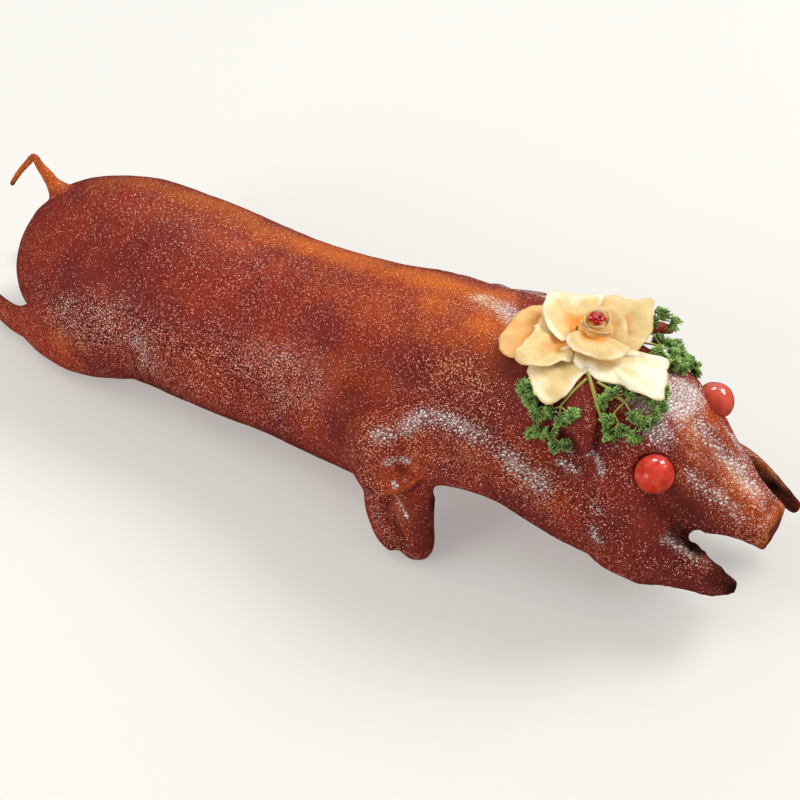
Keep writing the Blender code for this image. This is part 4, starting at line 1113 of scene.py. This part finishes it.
def makeSprig(plan, skinTree, roseTree, material):
    rng = random.Random(plan["seed"])

    def overSkin(x, y, lift):
        # a spot over the skin, kept low where a petal hangs over it, and the room that it has
        hit, normal = skinTree.ray_cast(Vector((x, y, skyHigh)), down)[:2]
        roof = roseTree.ray_cast(hit + Vector((0, 0, 0.2)), -down, 40)[3]
        room = 1.0
        if roof is not None:
            lift = min(lift, max(roof * 0.4, 0.6))
            room = min(1.0, max(0.2, (roof - lift) / 6))
        return hit + (normal + Vector((0, 0, 1))).normalized() * lift, normal, room

    leaves = bmesh.new()
    stems = bmesh.new()
    leafLayers = {name: leaves.verts.layers.float.new(name) for name in ("tip", "stem")}
    heart = overSkin(*plan["heart"])[0]
    root = overSkin(*plan["root"])[0]
    addTwig(stems, [root, root.lerp(heart, 0.5) + Vector((0, 0, 1.2)), heart], parsley["stem"], 0.65)
    for bare in plan.get("bareStems", ()):
        addTwig(stems, [Vector(p) for p in bare], parsley["stem"] * 1.2, parsley["stem"])
    forks = [heart]
    for way, reach, lift in sorted(plan["tufts"], key=lambda tuft: tuft[1]):
        way = math.radians(way)
        x, y = plan["heart"][0] + math.cos(way) * reach, plan["heart"][1] + math.sin(way) * reach
        top, normal, room = overSkin(x, y, lift)
        fork = min(forks, key=lambda spot: (spot - top).length + 0.25 * (spot - heart).length)
        bend = fork.lerp(top, 0.5) + normal * 0.8
        addTwig(stems, [fork, bend, top], parsley["twig"] * 1.3, parsley["twig"] * 0.8)
        forks.append(fork.lerp(top, 0.65))
        addTuft(leaves, leafLayers, top, (top - fork).normalized(), normal, room, rng)
    sprig = meshObject(plan["name"], leaves, outward=False)
    wall = sprig.modifiers.new("wall", "SOLIDIFY")
    wall.thickness = parsley["leafThickness"]
    wall.offset = 0
    settled(sprig)
    stemLayer = stems.verts.layers.float.new("stem")
    for vert in stems.verts:
        vert[stemLayer] = 1.0
    bmesh.ops.recalc_face_normals(stems, faces=stems.faces)
    stemMesh = bpy.data.meshes.new("stems")
    stems.to_mesh(stemMesh)
    stems.free()
    whole = bmesh.new()
    whole.from_mesh(sprig.data)
    whole.from_mesh(stemMesh)
    whole.to_mesh(sprig.data)
    whole.free()
    sprig.data.materials.append(material)
    return sprig


# Studio: pale sweep, a large softbox overhead and behind, weak fills in front and above, a panel behind,
# and two small lamps that only the wet skin and the cherries mirror

studio = {
    "azimuth": 31, "elevation": 44, "distance": 1.25, "lens": 94.2, "shiftY": -0.01875,
    "aim": (0.0324, 0.0, 0.05), "world": "#F4F1EA", "worldStrength": 0.6,
    "sweep": "#BCBBB7", "sweepGlow": "#FAF9F5", "glowStrength": 0.3, "sweepHalf": 4, "sweepDrop": 0.0002,
    "softboxes": {
        "overheadKey": {"way": (0.33, 0.62, 0.71), "distance": 4.0, "size": 1.6, "power": 120},
        "frontSoft": {"way": (-0.37, -0.8, 0.47), "distance": 1.6, "size": 0.6, "power": 7.5,
                      "unseenIn": "glossy"},
        "sideGloss": {"way": (-0.37, -0.89, 0.27), "distance": 1.8, "size": 0.9, "power": 5,
                      "unseenIn": "diffuse", "tint": "#F6F2FA"},
        "topFill": {"way": (-0.37, -0.25, 0.89), "distance": 1.8, "size": 0.9, "power": 6,
                    "unseenIn": "glossy"},
        "backPanel": {"way": (-0.25, 0.95, 0.15), "distance": 2.5, "size": 2.0, "power": 4},
        "glossPanel": {"way": (-0.3, 0.49, 0.82), "distance": 4.0, "size": 1.2, "power": 55,
                       "unseenIn": "diffuse", "tint": "#F2F2FF"},
    },
}


def makeStudio():
    scene = bpy.context.scene
    a, e = math.radians(studio["azimuth"]), math.radians(studio["elevation"])
    back = Vector((math.sin(a) * math.cos(e), -math.cos(a) * math.cos(e), math.sin(e)))
    lens = bpy.data.cameras.new("studioCamera")
    lens.lens = studio["lens"]
    lens.sensor_width = 36
    lens.shift_y = studio["shiftY"]
    camera = bpy.data.objects.new("studioCamera", lens)
    camera.location = Vector(studio["aim"]) + back * studio["distance"]
    camera.rotation_euler = back.to_track_quat("Z", "Y").to_euler()
    scene.collection.objects.link(camera)
    scene.camera = camera
    for name, plan in studio["softboxes"].items():
        lamp = bpy.data.lights.new(name, "AREA")
        lamp.shape = "SQUARE"
        lamp.size = plan["size"]
        lamp.energy = plan["power"]
        lamp.color = linear(plan.get("tint", "#FFFFFF"))[:3]
        light = bpy.data.objects.new(name, lamp)
        way = Vector(plan["way"]).normalized()
        light.location = way * plan["distance"]
        light.rotation_euler = way.to_track_quat("Z", "Y").to_euler()
        light.visible_diffuse = plan.get("unseenIn") != "diffuse"
        light.visible_glossy = plan.get("unseenIn") != "glossy"
        scene.collection.objects.link(light)
    world = bpy.data.worlds.new("paleStudio")
    world.use_nodes = True
    sky = world.node_tree.nodes["Background"]
    sky.inputs["Color"].default_value = linear(studio["world"])
    sky.inputs["Strength"].default_value = studio["worldStrength"]
    world.cycles_visibility.glossy = False
    scene.world = world
    scene.view_settings.view_transform = "Standard"
    bm = bmesh.new()
    bmesh.ops.create_grid(bm, x_segments=1, y_segments=1, size=studio["sweepHalf"])
    floor = meshObject("paleSweep", bm)
    floor.location.z = -studio["sweepDrop"]
    material, _, shader = newMaterial("matt_paper_sweep")  # dull paper, glowing a little
    plug(shader, {
        "Base Color": linear(studio["sweep"]), "Roughness": 0.9,
        "Emission Color": linear(studio["sweepGlow"]), "Emission Strength": studio["glowStrength"],
    })
    floor.data.materials.append(material)
    floor.visible_glossy = False


makeStudio()
print("studio ready")
skinFinish = roastSkin()
pig = makePig(skinFinish)
tail = makeTail(skinFinish)
skinTree = treeOf(pig)
print("pig ready")


def skinTop(x, y):
    hit = skinTree.ray_cast(Vector((x, y, skyHigh)), down)[0]
    return hit.z if hit else -1e9


flower = makeRose(skinTop, rosePetal())
roseTree = treeOf(flower)
heart = makeHeart(candiedBits())
print("rose ready")
green = parsleyGreen()
sprigs = {
    node: makeSprig(plan, skinTree, roseTree, green) for node, plan in parsley["sprigs"].items()
}
print("parsley ready")
cherryFinish = glaceCherry()
eyes = {node: makeCherry(eye, cherryFinish) for node, eye in cherries["eyes"].items()}
print("cherries ready")

finish(pig, nodes=["roast_pig"])
finish(tail, nodes=["roast_pig"])
finish(flower, nodes=["rose"])
finish(heart, nodes=["rose_heart"])
for node, sprig in sprigs.items():
    finish(sprig, nodes=[node])
for node, eye in eyes.items():
    finish(eye, nodes=[node])
print("pieces in place")
